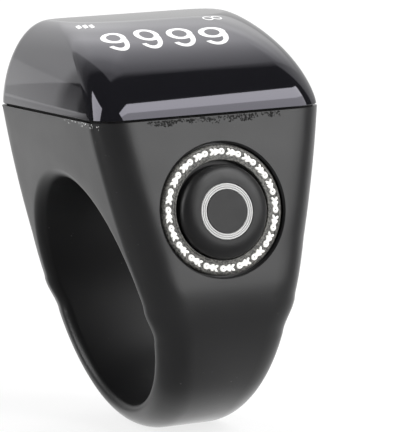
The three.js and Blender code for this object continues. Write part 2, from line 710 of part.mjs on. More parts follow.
// Lead from the front of the cell down to the board
function batteryLead() {
  const high = BATTERY_FLOOR + BATTERY_THICKNESS / 2;
  const start = BATTERY_FRONT - SOLDER_GAP;
  const path = new THREE.CatmullRomCurve3([
    new THREE.Vector3(0, start, high),
    new THREE.Vector3(0, start - LEAD_REACH / 2, high),
    new THREE.Vector3(0, start - LEAD_REACH, high - LEAD_REACH / 2),
    new THREE.Vector3(0, start - LEAD_REACH, BOARD_TOP + SOLDER_GAP),
  ]);
  const section = new THREE.Shape().absarc(0, 0, LEAD_RADIUS, 0, 2 * Math.PI);
  return new THREE.ExtrudeGeometry(section, {
    extrudePath: path, steps: 2 * CORNER_STEPS, curveSegments: LEAD_SIDES, bevelEnabled: false,
  });
}

// Hood over the battery whose sloping deck bears the display
function displayCarrier() {
  const deck = (y) => DISPLAY_CENTRE_Z - BOND_GAP + (y - DISPLAY_CENTRE_Y) * Math.tan(DISPLAY_SLOPE);
  const form = (inset, floor) => {
    const low = roundedLoop(
      CARRIER_HALF_LENGTH - inset, CARRIER_FRONT - inset, CARRIER_BACK - inset,
      CARRIER_CORNER - inset / 2, floor,
    );
    return solid(loft([low, low.map((point) => point.clone().setZ(deck(point.y) - inset))]));
  };
  return surface(form(0, BOARD_TOP).subtract(form(CARRIER_WALL, BOARD_TOP - OVERCUT)));
}

function displayJumper() {
  const along = new THREE.Vector2(Math.cos(DISPLAY_SLOPE), Math.sin(DISPLAY_SLOPE));
  const start = new THREE.Vector2(DISPLAY_CENTRE_Y, DISPLAY_CENTRE_Z)
    .addScaledVector(along, DISPLAY_HALF_WIDTH + SOLDER_GAP)
    .add(new THREE.Vector2(-along.y, along.x).multiplyScalar(DISPLAY_BOARD_THICKNESS / 2));
  const reach = (CARRIER_BACK + JUMPER_CLEARANCE - start.x) / along.x;
  const turn = start.clone().addScaledVector(along, reach);
  return strip([start, turn, new THREE.Vector2(turn.x, BOARD_TOP + SOLDER_GAP)], JUMPER_WIDTH);
}

// Plate of the display unit, whose frame lies on the carrier's deck
function displayPlate(rim, bottom, top) {
  const half = DISPLAY_HALF_WIDTH - rim;
  return plate(DISPLAY_HALF_LENGTH - rim, half, half, DISPLAY_CORNER, bottom, top);
}

// Light blocks: four figure-of-eight digits, a battery mark and a loop mark
const LIGHT_BLOCKS = [];
for (let k = 0; k < DIGIT_COUNT; k += 1) {
  LIGHT_BLOCKS.push({
    name: `digit_block_${k + 1}`,
    length: DIGIT_WIDTH,
    width: DIGIT_LENGTH,
    x: (k - (DIGIT_COUNT - 1) / 2) * DIGIT_PITCH,
    y: DIGIT_CENTRE_Y,
    counters: 2,
  });
}
for (const side of [-1, 1]) {
  LIGHT_BLOCKS.push({
    name: side < 0 ? 'battery_mark_block' : 'loop_mark_block',
    length: side < 0 ? BATTERY_MARK_LENGTH : LOOP_MARK_LENGTH,
    width: STATUS_WIDTH,
    x: side * STATUS_SPREAD,
    y: STATUS_CENTRE_Y,
  });
}

function rectangle(length, width, y) {
  const signs = [[-1, -1], [1, -1], [1, 1], [-1, 1]];
  return signs.map(([a, b]) => new THREE.Vector2(a * length / 2, y + b * width / 2));
}

function lightBlock({ length, width, counters = 0 }) {
  const shape = new THREE.Shape(rectangle(length, width, 0));
  const pitch = (width - DIGIT_BAR) / 2;
  for (let k = 0; k < counters; k += 1) {
    const counter = rectangle(length - 2 * DIGIT_BAR, pitch - DIGIT_BAR, (k - 0.5) * pitch);
    shape.holes.push(new THREE.Path(counter));
  }
  return new THREE.ExtrudeGeometry(shape, { depth: REFLECTOR_HEIGHT, bevelEnabled: false })
    .translate(0, 0, REFLECTOR_FLOOR);
}

function reflector() {
  const top = REFLECTOR_FLOOR + REFLECTOR_HEIGHT;
  const frame = solid(displayPlate(REFLECTOR_RIM, REFLECTOR_FLOOR, top));
  const windows = LIGHT_BLOCKS.map(({ length, width, x, y }) => solid(new THREE.BoxGeometry(
    length + 2 * LIGHT_CLEARANCE, width + 2 * LIGHT_CLEARANCE, 2 * REFLECTOR_HEIGHT + OVERCUT,
  ).translate(x, y, REFLECTOR_FLOOR)));
  return surface(windows.reduce((body, window) => body.subtract(window), frame));
}

// Place along the board of a chip that keeps its margin from the board's end
function chipPlace({ length, side }) {
  return side * (BOARD_HALF_LENGTH - CHIP_MARGIN - length / 2);
}

function part(name, geometry, material, x = 0, y = 0, z = 0) {
  const mesh = new THREE.Mesh(geometry, material);
  mesh.name = name;
  mesh.position.set(x, y, z);
  return mesh;
}

const buttonUnit = new THREE.Group();
buttonUnit.position.copy(BUTTON_PLACE);
buttonUnit.rotation.x = BUTTON_TURN;
buttonUnit.add(
  part('button_trim_ring', trimRing(), BODY_PLASTIC),
  part('push_button', pushButton(), BUTTON_PLASTIC),
  part('button_ring_inlay', buttonInlay(), INLAY_PLASTIC),
  part('snap_dome', snapDome(), SPRING_STEEL),
  part('switch_stiffener', stiffener(), TINNED_STEEL),
);

const FILM_TOP = FILM_FLOOR + FILM_THICKNESS;
const displayUnit = new THREE.Group();
displayUnit.position.set(0, DISPLAY_CENTRE_Y, DISPLAY_CENTRE_Z);
displayUnit.rotation.x = DISPLAY_SLOPE;
displayUnit.add(
  part('display_board', displayPlate(0, 0, DISPLAY_BOARD_THICKNESS), BOARD_LAMINATE),
  part('display_reflector', reflector(), WHITE_PLASTIC),
  part('diffuser_film', displayPlate(REFLECTOR_RIM, FILM_FLOOR, FILM_TOP), LIGHT_RESIN),
);
for (const block of LIGHT_BLOCKS) {
  displayUnit.add(part(block.name, lightBlock(block), LIGHT_RESIN, block.x, block.y));
}

const counter = new THREE.Group();
counter.add(
  part('ring_body', ringBody(), BODY_PLASTIC),
  part('display_cover', displayCover(), COVER_PLASTIC),
  part('cover_adhesive', coverAdhesive(), BLACK_ADHESIVE),
  buttonUnit,
  part('switch_flex', switchFlex(), POLYIMIDE),
  part('main_board', mainBoard(), BOARD_LAMINATE),
  part('controller_chip', chip(CONTROLLER), CHIP_EPOXY, chipPlace(CONTROLLER), CONTROLLER.y),
  part('charger_chip', chip(CHARGER), CHIP_EPOXY, chipPlace(CHARGER), CHARGER.y),
  part('clock_crystal', chip(CRYSTAL), TINNED_STEEL, chipPlace(CRYSTAL), CRYSTAL.y),
  part('flex_connector', chip(CONNECTOR), WHITE_PLASTIC, 0, CONNECTOR.width / 2 - CONNECTOR_FRONT),
  part('charge_socket', chargeSocket(), TINNED_STEEL),
  part('socket_tongue', socketTongue(), CHIP_EPOXY),
  part('battery_pad', batteryPad(), FOAM_TAPE, 0, BATTERY_CENTRE),
  part('battery_cell', batteryCell(), FOIL_POUCH, 0, BATTERY_CENTRE),
  part('battery_lead_red', batteryLead(), RED_WIRE, LEAD_SPREAD),
  part('battery_lead_black', batteryLead(), BLACK_WIRE, -LEAD_SPREAD),
  part('display_carrier', displayCarrier(), DARK_PLASTIC),
  displayUnit,
  part('display_jumper', displayJumper(), POLYIMIDE),
);

export default counter;
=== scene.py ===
"""Finished surfaces of a digital finger counter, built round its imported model.

Meshes are in metres in the model's frame: +X runs along the finger, -Y is the button side and
+Z is the display side. The origin is the centre of the finger bore.
"""

import json
import math

import bpy
from bpy.props import FloatProperty, FloatVectorProperty, IntProperty, PointerProperty, StringProperty
from bpy.types import Operator, Panel, PropertyGroup
from mathutils import Matrix, Quaternion, Vector


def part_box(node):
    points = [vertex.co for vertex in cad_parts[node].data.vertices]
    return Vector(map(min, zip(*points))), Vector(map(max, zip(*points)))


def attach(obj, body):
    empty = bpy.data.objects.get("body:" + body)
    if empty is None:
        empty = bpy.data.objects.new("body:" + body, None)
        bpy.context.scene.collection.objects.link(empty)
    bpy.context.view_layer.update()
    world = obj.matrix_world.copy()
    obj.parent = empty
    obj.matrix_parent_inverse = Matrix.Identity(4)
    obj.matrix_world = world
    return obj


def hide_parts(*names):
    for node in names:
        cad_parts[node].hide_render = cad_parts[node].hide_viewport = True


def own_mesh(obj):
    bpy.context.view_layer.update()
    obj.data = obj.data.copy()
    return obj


bl_info = {
    "name": "Digital Finger Counter",
    "version": (1, 0, 0),
    "blender": (4, 5, 0),
    "location": "View3D > Sidebar > Finger Counter",
    "description": "Builds the finished surfaces of a digital finger counter round its model",
    "category": "Add Mesh",
}

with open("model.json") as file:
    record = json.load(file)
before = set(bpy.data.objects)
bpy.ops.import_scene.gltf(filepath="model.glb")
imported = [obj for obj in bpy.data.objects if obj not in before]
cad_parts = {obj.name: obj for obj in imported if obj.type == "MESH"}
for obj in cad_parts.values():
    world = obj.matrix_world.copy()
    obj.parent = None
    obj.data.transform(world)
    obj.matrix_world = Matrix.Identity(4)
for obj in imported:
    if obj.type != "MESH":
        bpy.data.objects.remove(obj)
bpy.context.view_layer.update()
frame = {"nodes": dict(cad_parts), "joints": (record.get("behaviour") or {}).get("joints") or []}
MM = 0.001

# Places that come from the model
BODY_LOW, BODY_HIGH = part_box("ring_body")
COVER_LOW, COVER_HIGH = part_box("display_cover")
BOARD_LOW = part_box("main_board")[0]
SOCKET_LOW, SOCKET_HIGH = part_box("charge_socket")
CONNECTOR_LOW, CONNECTOR_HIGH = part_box("flex_connector")
TRIM_LOW, TRIM_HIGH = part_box("button_trim_ring")
HEAD_TOP = BODY_HIGH.z
HEAD_HALF_LENGTH = BODY_HIGH.x
BAND_BOTTOM_RADIUS = -BODY_LOW.z
INWARD = Vector(frame["joints"][0]["axis"]).normalized()

# How far a cutter runs past the face that it opens, and how far the lamps stand off, in metres
OVERCUT = 2 * MM
LAMP_DISTANCE = 1.2


def length(name, millimetres, description):
    """Length property whose default is given in millimetres"""
    return FloatProperty(
        name=name, description=description, default=millimetres * MM, subtype="DISTANCE", unit="LENGTH",
        precision=5,
    )


def share_of(name, value, description):
    """Plain number that is a share or a power"""
    return FloatProperty(name=name, description=description, default=value)


def paint(name, code, description):
    """Colour property whose default is an sRGB hex value"""
    return FloatVectorProperty(
        name=name, description=description, default=linear(code)[:3], subtype="COLOR", size=3,
    )


def linear(code):
    """Linear colour with alpha 1 of an sRGB hex value"""
    levels = [int(code[k:k + 2], 16) / 255 for k in (1, 3, 5)]
    return (*[v / 12.92 if v <= 0.04045 else ((v + 0.055) / 1.055) ** 2.4 for v in levels], 1)


class BodySizes(PropertyGroup):
    """Sizes of the moulded ring body"""
    bore_radius: length("Bore radius", 9.15, "Radius of the finger bore")
    lead_in: length("Lead-in", 0.8, "Largest radius of the bore's rounded rims")
    lead_in_share: share_of("Lead-in share", 0.3, "Largest share of the wall that the lead-in takes")
    side_wall: length("Side wall", 3, "Band's wall in front of and behind the finger")
    half_length: length("Band half-length", 5.22, "Half of the band's length along the finger")
    bottom_half_length: length("Bottom half-length", 3.75, "Half of the band's length under the finger")
    band_corner: length("Band corner", 2.3, "Radius of the band's long edges")
    corner_reach: share_of("Corner reach", 0.95, "Largest share of the wall for a corner's reach")
    corner_depth: share_of("Corner depth", 0.66, "Largest share of the wall for a corner's depth")
    head_corner: length("Head corner", 2, "Radius of the head's upright edges")
    head_reach: length("Head reach", 3, "How far the head's upright edges round in along the finger")
    reach_foot: length("Reach foot", 3.339, "Depth under the bore's centre where the band's own edges begin")
    head_bulge: length("Head bulge", 0.27, "Crown of the head's side walls")
    head_wall: length("Head wall", 1.5, "Wall of the hollow head")
    crown_wall: length("Crown wall", 1.5, "Wall between the bore and the hollow head")
    shoulder_half_length: length("Shoulder half-length", 6.2, "Half-length where the head meets the band")
    shoulder_top: length("Shoulder top", 0, "Height at which the head's taper ends")
    shoulder_foot: length("Shoulder foot", -3, "Height at which the band begins")
    cavity_depth: length("Cavity depth", 6.18, "Depth of the hollow head")
    switch_room: length("Switch room", 3.2, "Wall behind the front face that holds the switch")
    ledge: length("Ledge", 0.9, "Width of the ledge that the main board lies on")


class CoverSizes(PropertyGroup):
    """Sizes of the smoked cover"""
    overhang: length("Overhang", 0.1, "How far the cover stands out from the head")
    wall: length("Wall", 1.2, "Wall of the cover")
    corner: length("Foot corner", 2.35, "Radius of the upright edges at the foot")
    top_front_corner: length("Top front corner", 5, "Radius of the front's upright edges at the top")
    top_back_corner: length("Top back corner", 1.5, "Radius of the back's upright edges at the top")
    corner_power: share_of("Corner power", 3, "How late the corners change on their way up")
    corner_limit: share_of("Corner limit", 0.75, "Largest share of the depth that a corner takes")
    side_roll: length("Side roll", 2.65, "How far the sides draw in")
    front_roll: length("Front roll", 8.88, "How far the front draws in")
    back_roll: length("Back roll", 6.23, "How far the back draws in")
    roll_share: share_of("Roll share", 0.3, "How much less the inside draws in, as a share of the wall")
    side_power: share_of("Side power", 1.52, "Fullness of the sides")
    front_power: share_of("Front power", 1.37, "Fullness of the front")
    back_power: share_of("Back power", 2.43, "Fullness of the back")
    foot_round: length("Foot round", 0.1, "Radius of the edge at the seam")
    bow: length("Bow", 0.18, "How far the long sides draw in at their ends")


class ButtonSizes(PropertyGroup):
    """Sizes of the button unit in its pocket"""
    pocket_radius: length("Pocket radius", 5.1, "Radius of the pocket in the front face")
    pocket_break: length("Pocket break", 0.14, "Bevel of the pocket's edge")
    trim_inner: length("Trim inner radius", 3.8, "Inner radius of the trim ring")
    trim_outer: length("Trim outer radius", 4.98, "Outer radius of the trim ring")
    trim_depth: length("Trim depth", 0.1, "Depth of the trim ring below the face")
    trim_thickness: length("Trim thickness", 0.5, "Thickness of the trim ring")
    button_radius: length("Button radius", 3.6, "Radius of the button")
    button_sag: length("Button sag", 0.13, "How far the button hangs down in its play")
    button_proud: length("Button proud", 0.75, "Height of the button above the face")
    button_rim: length("Button rim", 0.75, "Height of the button's rounded rim")
    button_crown: length("Button crown", 1.2, "Width of the button's rounded rim")
    flange_radius: length("Flange radius", 4.2, "Radius of the flange that keeps the button in")
    flange_thickness: length("Flange thickness", 0.4, "Thickness of that flange")
    flange_play: length("Flange play", 0.15, "Play between the flange and the trim ring")
    travel: length("Travel", 0.3, "Travel of the button")
    nib_radius: length("Nib radius", 0.8, "Radius of the nib that presses the dome")
    nib_length: length("Nib length", 0.2, "Length of the nib")
    nib_play: length("Nib play", 0.05, "Play between the nib and the dome")
    dome_radius: length("Dome radius", 1.8, "Radius of the sprung dome")
    dome_rise: length("Dome rise", 0.35, "Height of the sprung dome")
    dome_thickness: length("Dome thickness", 0.08, "Thickness of the sprung dome")
    dome_left: share_of("Dome left", 0.25, "Share of the dome's height that is left when it is pressed")
    well_clearance: length("Well clearance", 0.15, "Clearance round the flange and under it")
    pad_radius: length("Switch pad radius", 2.1, "Radius of the switch under the button")
    inlay_radius: length("Inlay radius", 2.15, "Outer radius of the grey ring")
    inlay_width: length("Inlay width", 0.48, "Width of the grey ring")
    inlay_depth: length("Inlay depth", 0.2, "Thickness of the grey ring")
    braid_radius: length("Braid radius", 4.43, "Mean radius of the white braid")
    braid_width: length("Braid width", 0.52, "Width of the white braid")
    braid_height: length("Braid height", 0.07, "Height of the white braid above the trim ring")
    braid_repeats: IntProperty(name="Braid repeats", description="Links in the braid", default=20, min=3)


class DisplaySizes(PropertyGroup):
    """Lit signs on the cover; heights of the signs run along its slope"""
    reading: StringProperty(name="Reading", description="Digits that are lit", default="9999")
    digit_width: length("Digit width", 2.13, "Width of a digit")
    digit_height: length("Digit height", 2.35, "Height of a digit")
    stroke: length("Stroke", 0.47, "Width of a digit's line at its sides")
    thin_stroke: length("Thin stroke", 0.24, "Width of a digit's line at its top and foot")
    row_x: length("Row centre X", -1.35, "Centre of the row of digits along the finger")
    row_y: length("Row centre Y", -4.77, "Centre of the row of digits across the finger")
    row_length: length("Row length", 8.1, "Distance between the centres of the first and the last digit")
    row_drop: length("Row drop", 0.33, "How much further forward the last digit lies")
    bar_width: length("Bar width", 0.27, "Width of a battery bar")
    bar_height: length("Bar height", 0.7, "Height of a battery bar")
    bars_first: FloatVectorProperty(
        name="First bar", description="Place of the first battery bar along and across the finger", size=2,
        unit="LENGTH", default=(-6.75 * MM, -0.57 * MM),
    )
    bars_step: FloatVectorProperty(
        name="Bar step", description="Step from bar to bar along and across the finger", size=2,
        unit="LENGTH", default=(0.39 * MM, -0.37 * MM),
    )
    loop_x: length("Loop centre X", 3.8, "Centre of the loop sign along the finger")
    loop_y: length("Loop centre Y", -2.3, "Centre of the loop sign across the finger")
    loop_length: length("Loop length", 1.6, "Length of the loop sign")
    loop_height: length("Loop height", 0.66, "Height of the loop sign")
    loop_rise: length("Loop rise", 0.08, "How much further back its right end lies")
    loop_line: length("Loop line", 0.09, "Width of the loop sign's line")
    lift: length("Lift", 0.02, "Thickness of a lit sign on the cover")


class FinishColours(PropertyGroup):
    """Colours that a user may change"""
    body: paint("Body", "#101011", "Black plastic of the ring body")
    cover: paint("Cover", "#0c0c0f", "Smoked plastic of the cover")
    button: paint("Button", "#0c0c0d", "Plastic of the push button")
    inlay: paint("Inlay", "#b0b0af", "Ring on the button")
    braid: paint("Braid", "#e4e3df", "Ornament round the button")
    light: paint("Light", "#ffffff", "Lit signs")


class StageSizes(PropertyGroup):
    """Camera and floor"""
    camera: FloatVectorProperty(
        name="Camera", description="Place of the camera", subtype="TRANSLATION", unit="LENGTH",
        default=(-102.22 * MM, -235.31 * MM, 40 * MM),
    )
    target: FloatVectorProperty(
        name="Target", description="Point that the camera looks at", subtype="TRANSLATION", unit="LENGTH",
        default=(3.24 * MM, -1.03 * MM, 5.22 * MM),
    )
    roll: FloatProperty(
        name="Roll", description="Turn of the camera about its view", default=math.radians(-2.176),
        subtype="ANGLE", unit="ROTATION",
    )
    lens: FloatProperty(
        name="Lens", description="Focal length for a 36 mm sensor", default=286.45, subtype="DISTANCE_CAMERA",
    )
    floor_half: length("Floor half-size", 3000, "Half of the floor's side")


# Materials

def feed(tree, node, inputs):
    """Gives inputs of a node their values, or the sockets or nodes that feed them"""
    for socket, value in inputs.items():
        if isinstance(value, bpy.types.Node):
            value = next(output for output in value.outputs if output.enabled)
        if isinstance(value, bpy.types.NodeSocket):
            tree.links.new(value, node.inputs[socket])
        else:
            node.inputs[socket].default_value = value


def add(tree, kind, inputs=None, **settings):
    """Adds a node with its settings and inputs"""
    node = tree.nodes.new(kind)
    for name, value in settings.items():
        setattr(node, name, value)
    feed(tree, node, inputs or {})
    return node


def grain(size):
    """Texture scale whose features are about size millimetres wide"""
    return 1 / (size * MM)


def blank(name):
    """New material with a principled shader; returns material, tree, shader and the object's coordinates"""
    material = bpy.data.materials.new(name)
    material.use_nodes = True
    tree = material.node_tree
    tree.nodes.clear()
    shader = add(tree, "ShaderNodeBsdfPrincipled")
    add(tree, "ShaderNodeOutputMaterial", {"Surface": shader})
    return material, tree, shader, add(tree, "ShaderNodeTexCoord").outputs["Object"]


def mottled(tree, place, size, first, second):
    """Colour that drifts from one to another in patches of size millimetres"""
    patches = add(tree, "ShaderNodeTexNoise", {"Vector": place, "Scale": grain(size), "Detail": 3})
    return add(tree, "ShaderNodeMix", {0: patches, 6: first, 7: second}, data_type="RGBA")


def drifting(tree, place, size, low, high, start=0.3, end=0.7, detail=3):
    """Number that drifts from low to high in patches of size millimetres"""
    patches = add(tree, "ShaderNodeTexNoise", {"Vector": place, "Scale": grain(size), "Detail": detail})
    return add(
        tree, "ShaderNodeMapRange",
        {"Value": patches, "From Min": start, "From Max": end, "To Min": low, "To Max": high},
    )


def relief(tree, place, size, strength, depth, detail=3):
    """Uneven surface with features of size millimetres that are depth millimetres deep"""
    height = add(tree, "ShaderNodeTexNoise", {"Vector": place, "Scale": grain(size), "Detail": detail})
    return add(tree, "ShaderNodeBump", {"Height": height, "Strength": strength, "Distance": depth * MM})


def shade(colour, factor):
    """Colour made lighter or darker"""
    return (*[min(1, level * factor) for level in colour[:3]], 1)


def moulded(name, colour, roughness, grain_size, grain_depth):
    """Moulded plastic or rubber: slow change of tone, and the fine texture of the mould"""
    material, tree, shader, place = blank(name)
    feed(tree, shader, {
        "Base Color": mottled(tree, place, 6, shade(colour, 0.88), shade(colour, 1.12)),
        "Roughness": drifting(tree, place, 2, roughness * 0.92, roughness * 1.08),
        "Normal": relief(tree, place, grain_size, 0.6, grain_depth),
    })
    return material


def matt_moulded_abs(colours):
    """Black ABS from a spark-eroded mould: dull sheen, faint flow lines, dust, and a duller bore"""
    material, tree, shader, place = blank("matt_moulded_abs")
    base = (*colours.body, 1)
    bore = bpy.context.scene.counter_body.bore_radius
    section = add(tree, "ShaderNodeVectorMath", {0: place, 1: (0, 1, 1)}, operation="MULTIPLY")
    radius = add(tree, "ShaderNodeVectorMath", {0: section}, operation="LENGTH")
    outside = add(
        tree, "ShaderNodeMapRange",
        {"Value": radius, "From Min": bore + 0.1 * MM, "From Max": bore + 0.65 * MM},
    )
    tone = mottled(tree, place, 7, shade(base, 0.88), shade(base, 1.14))
    dust = drifting(tree, place, 0.35, 0, 0.5, 0.74, 0.8, detail=2)
    polish = drifting(tree, place, 2.5, 0.29, 0.33)
    gloss = add(tree, "ShaderNodeMapRange", {"Value": outside, "To Min": 0.22, "To Max": 0.5})
    # The real grain is about 0.05 mm; it is drawn three times as coarse, so that it shows
    eroded = relief(tree, place, 0.16, 0.5, 0.006)
    flow = add(
        tree, "ShaderNodeTexWave",
        {"Vector": place, "Scale": grain(14), "Distortion": 3, "Detail": 1, "Detail Scale": 0.5},
        bands_direction="Z",
    )
    feed(tree, shader, {
        "Base Color": add(tree, "ShaderNodeMix", {0: dust, 6: tone, 7: linear("#6f6f6f")}, data_type="RGBA"),
        "Roughness": add(tree, "ShaderNodeMix", {0: outside, 2: 0.46, 3: polish}),
        "Specular IOR Level": gloss,
        "Normal": add(
            tree, "ShaderNodeBump",
            {"Height": flow.outputs["Fac"], "Strength": 0.25, "Distance": 0.02 * MM, "Normal": eroded},
        ),
    })
    return material


def polished_smoked_acrylic(colours):
    """Smoked acrylic, polished: nearly black in depth, with sharp reflections and hairline swirls"""
    material, tree, shader, place = blank("polished_smoked_acrylic")
    base = (*colours.cover, 1)
    feed(tree, shader, {
        "Base Color": mottled(tree, place, 5, shade(base, 0.8), shade(base, 1.2)),
        "Roughness": drifting(tree, place, 3, 0.035, 0.06),
        "IOR": 1.49,
        "Specular Tint": linear("#f4f1ff"),
        "Normal": relief(tree, place, 4, 0.3, 0.01, detail=1),
    })
    return material


def satin_moulded_abs(colours):
    """Black ABS with a satin finish, as on the push button, and the fine mottling of its mould"""
    material, tree, shader, place = blank("satin_moulded_abs")
    base = (*colours.button, 1)
    feed(tree, shader, {
        "Base Color": mottled(tree, place, 2, shade(base, 0.9), shade(base, 1.1)),
        "Roughness": drifting(tree, place, 0.8, 0.36, 0.44),
        "Specular IOR Level": 0.38,
        "Normal": relief(tree, place, 0.16, 0.6, 0.006),
    })
    return material


def textured_trim_abs():
    """Dark grey ABS of the trim ring, knurled by the mould so that it catches more light"""
    material, tree, shader, place = blank("textured_trim_abs")
    grit = add(tree, "ShaderNodeTexVoronoi", {"Vector": place, "Scale": grain(0.14)})
    share = add(tree, "ShaderNodeMapRange", {"Value": grit, "From Min": 0.3, "From Max": 0.7})
    feed(tree, shader, {
        "Base Color": add(
            tree, "ShaderNodeMix", {0: share, 6: linear("#222120"), 7: linear("#5c5b57")}, data_type="RGBA",
        ),
        "Roughness": 0.5,
        "Normal": add(tree, "ShaderNodeBump", {"Height": grit, "Strength": 0.7, "Distance": 0.02 * MM}),
    })
    return material


def pad_printed_enamel(colours):
    """Thick white enamel in the braid: half-gloss, with the slight unevenness of a filled relief"""
    material, tree, shader, place = blank("pad_printed_enamel")
    base = (*colours.braid, 1)
    feed(tree, shader, {"Base Color": mottled(tree, place, 0.3, shade(base, 0.9), base), "Roughness": 0.35})
    return material


def turned_inlay(colours):
    """Light grey plastic of the inlay, with the slight unevenness of a turned ring"""
    material, tree, shader, place = blank("turned_grey_inlay")
    base = (*colours.inlay, 1)
    feed(tree, shader, {"Base Color": mottled(tree, place, 0.5, shade(base, 0.94), base), "Roughness": 0.42})
    return material


def lit_segment(colours):
    """Light of the display as it shows on the smoked surface: even, slightly softened white"""
    material, tree, shader, place = blank("lit_display_white")
    base = (*colours.light, 1)
    feed(tree, shader, {
        "Base Color": linear("#202020"),
        "Roughness": 0.2,
        "Emission Color": mottled(tree, place, 0.6, shade(base, 0.94), base),
        "Emission Strength": 1,
    })
    return material


def cured_glue():
    """Black glue that was pressed out of the seam and cured: dull and lumpy"""
    material, tree, shader, place = blank("cured_black_glue")
    feed(tree, shader, {
        "Base Color": mottled(tree, place, 0.4, linear("#0a0a0a"), linear("#1c1c1b")),
        "Roughness": 0.6,
        "Specular IOR Level": 0.2,
        "Normal": relief(tree, place, 0.25, 0.8, 0.03),
    })
    return material


def polishing_dust():
    """Dried white polishing paste: dull crumbs"""
    material, tree, shader, place = blank("dried_polishing_paste")
    tone = mottled(tree, place, 0.1, linear("#9c9c9c"), linear("#ececea"))
    feed(tree, shader, {"Base Color": tone, "Roughness": 0.9})
    return material


def metal(name, colour, roughness, grain_size, stretch=(1, 1, 1)):
    """Sheet metal with a rolled or plated surface; stretch draws its grain out along an axis"""
    material, tree, shader, place = blank(name)
    drawn = add(tree, "ShaderNodeMapping", {"Vector": place, "Scale": stretch})
    feed(tree, shader, {
        "Metallic": 1,
        "Base Color": mottled(tree, drawn, grain_size, shade(colour, 0.85), colour),
        "Roughness": drifting(tree, drawn, grain_size, roughness * 0.8, roughness * 1.25),
    })
    return material


def printed_board():
    """Green solder mask over copper: tracks show as slightly raised, lighter lines"""
    material, tree, shader, place = blank("solder_masked_laminate")
    tracks = add(
        tree, "ShaderNodeTexVoronoi", {"Vector": place, "Scale": grain(1.2)}, feature="DISTANCE_TO_EDGE",
    )
    line = add(
        tree, "ShaderNodeMapRange",
        {"Value": tracks, "From Min": 0.04, "From Max": 0.1, "To Min": 1, "To Max": 0},
    )
    feed(tree, shader, {
        "Base Color": add(
            tree, "ShaderNodeMix", {0: line, 6: linear("#174a2c"), 7: linear("#2c7a4b")}, data_type="RGBA",
        ),
        "Roughness": 0.35,
        "Normal": add(tree, "ShaderNodeBump", {"Height": line, "Strength": 0.5, "Distance": 0.03 * MM}),
    })
    return material


def flexible_board():
    """Amber polyimide with copper tracks that run along it"""
    material, tree, shader, place = blank("polyimide_flex")
    tracks = add(tree, "ShaderNodeTexWave", {"Vector": place, "Scale": grain(2)}, bands_direction="X")
    line = add(
        tree, "ShaderNodeMapRange", {"Value": tracks.outputs["Fac"], "From Min": 0.45, "From Max": 0.55},
    )
    feed(tree, shader, {
        "Base Color": add(
            tree, "ShaderNodeMix", {0: line, 6: linear("#8a4f14"), 7: linear("#c98a3c")}, data_type="RGBA",
        ),
        "Roughness": 0.32,
    })
    return material


# Meshes

def skin(loops, joined=False):
    """Points and faces of a skin over closed loops of equal length; its ends are closed, or joined"""
    count = len(loops[0])
    points = [point for loop in loops for point in loop]
    faces = []
    for row in range(len(loops) if joined else len(loops) - 1):
        following = (row + 1) % len(loops)
        for k in range(count):
            after = (k + 1) % count
            faces.append((
                row * count + k, row * count + after, following * count + after, following * count + k,
            ))
    if not joined:
        faces.append(tuple(reversed(range(count))))
        faces.append(tuple(range((len(loops) - 1) * count, len(loops) * count)))
    return points, faces


def new_object(name, points, faces):
    """Mesh object in the scene from points and faces"""
    mesh = bpy.data.meshes.new(name)
    mesh.from_pydata([tuple(point) for point in points], [], faces)
    mesh.validate()
    item = bpy.data.objects.new(name, mesh)
    bpy.context.scene.collection.objects.link(item)
    return item


def baked(item):
    """Turns an object's modifiers into its plain mesh"""
    bpy.context.view_layer.update()
    evaluated = item.evaluated_get(bpy.context.evaluated_depsgraph_get())
    mesh = bpy.data.meshes.new_from_object(evaluated)
    item.modifiers.clear()
    old = item.data
    item.data = mesh
    bpy.data.meshes.remove(old)
    mesh.name = item.name
    return item


def cut(item, cutters):
    """Cuts the cutters out of an object and deletes them"""
    for cutter in cutters:
        modifier = item.modifiers.new("cut", "BOOLEAN")
        modifier.operation = "DIFFERENCE"
        modifier.solver = "MANIFOLD"
        modifier.object = cutter
        baked(item)
        bpy.data.objects.remove(cutter)
    return item


def complete(item, material, body, replaces=()):
    """Gives a piece its finish, its smooth faces, its body and the nodes that it stands for"""
    item.data.materials.clear()
    item.data.materials.append(material)
    for face in item.data.polygons:
        face.material_index = 0
        face.use_smooth = True
    item.data.set_sharp_from_angle(angle=math.radians(32))
    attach(item, body)
    if replaces:
        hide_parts(*replaces)
    return item


def rounded_loop(half_length, front, back, front_corner, back_corner, z, steps=14):
    """Loop at height z round a rectangle with round corners that runs from -front to back in Y"""
    loop = []
    for side, centre_y, start, corner in (
        (1, front_corner - front, -90, front_corner), (1, back - back_corner, 0, back_corner),
        (-1, back - back_corner, 90, back_corner), (-1, front_corner - front, 180, front_corner),
    ):
        for k in range(steps + 1):
            angle = math.radians(start + 90 * k / steps)
            loop.append(Vector((
                side * (half_length - corner) + corner * math.cos(angle),
                centre_y + corner * math.sin(angle),
                z,
            )))
    return loop


def turned(name, profile, steps=160):
    """Solid about Z from radius and height pairs: they start and end on the axis, or form a ring"""
    solid = profile[0][0] == 0
    rows = profile[1:-1] if solid else profile
    loops = [
        [
            Vector((radius * math.cos(2 * math.pi * k / steps), radius * math.sin(2 * math.pi * k / steps), z))
            for k in range(steps)
        ]
        for radius, z in rows
    ]
    return new_object(name, *skin(loops, joined=not solid))


def block(name, low, high):
    """Rectangular cutter between two corners"""
    loop = [(low.x, low.y), (high.x, low.y), (high.x, high.y), (low.x, high.y)]
    loops = [[Vector((x, y, z)) for x, y in loop] for z in (low.z, high.z)]
    return new_object(name, *skin(loops))


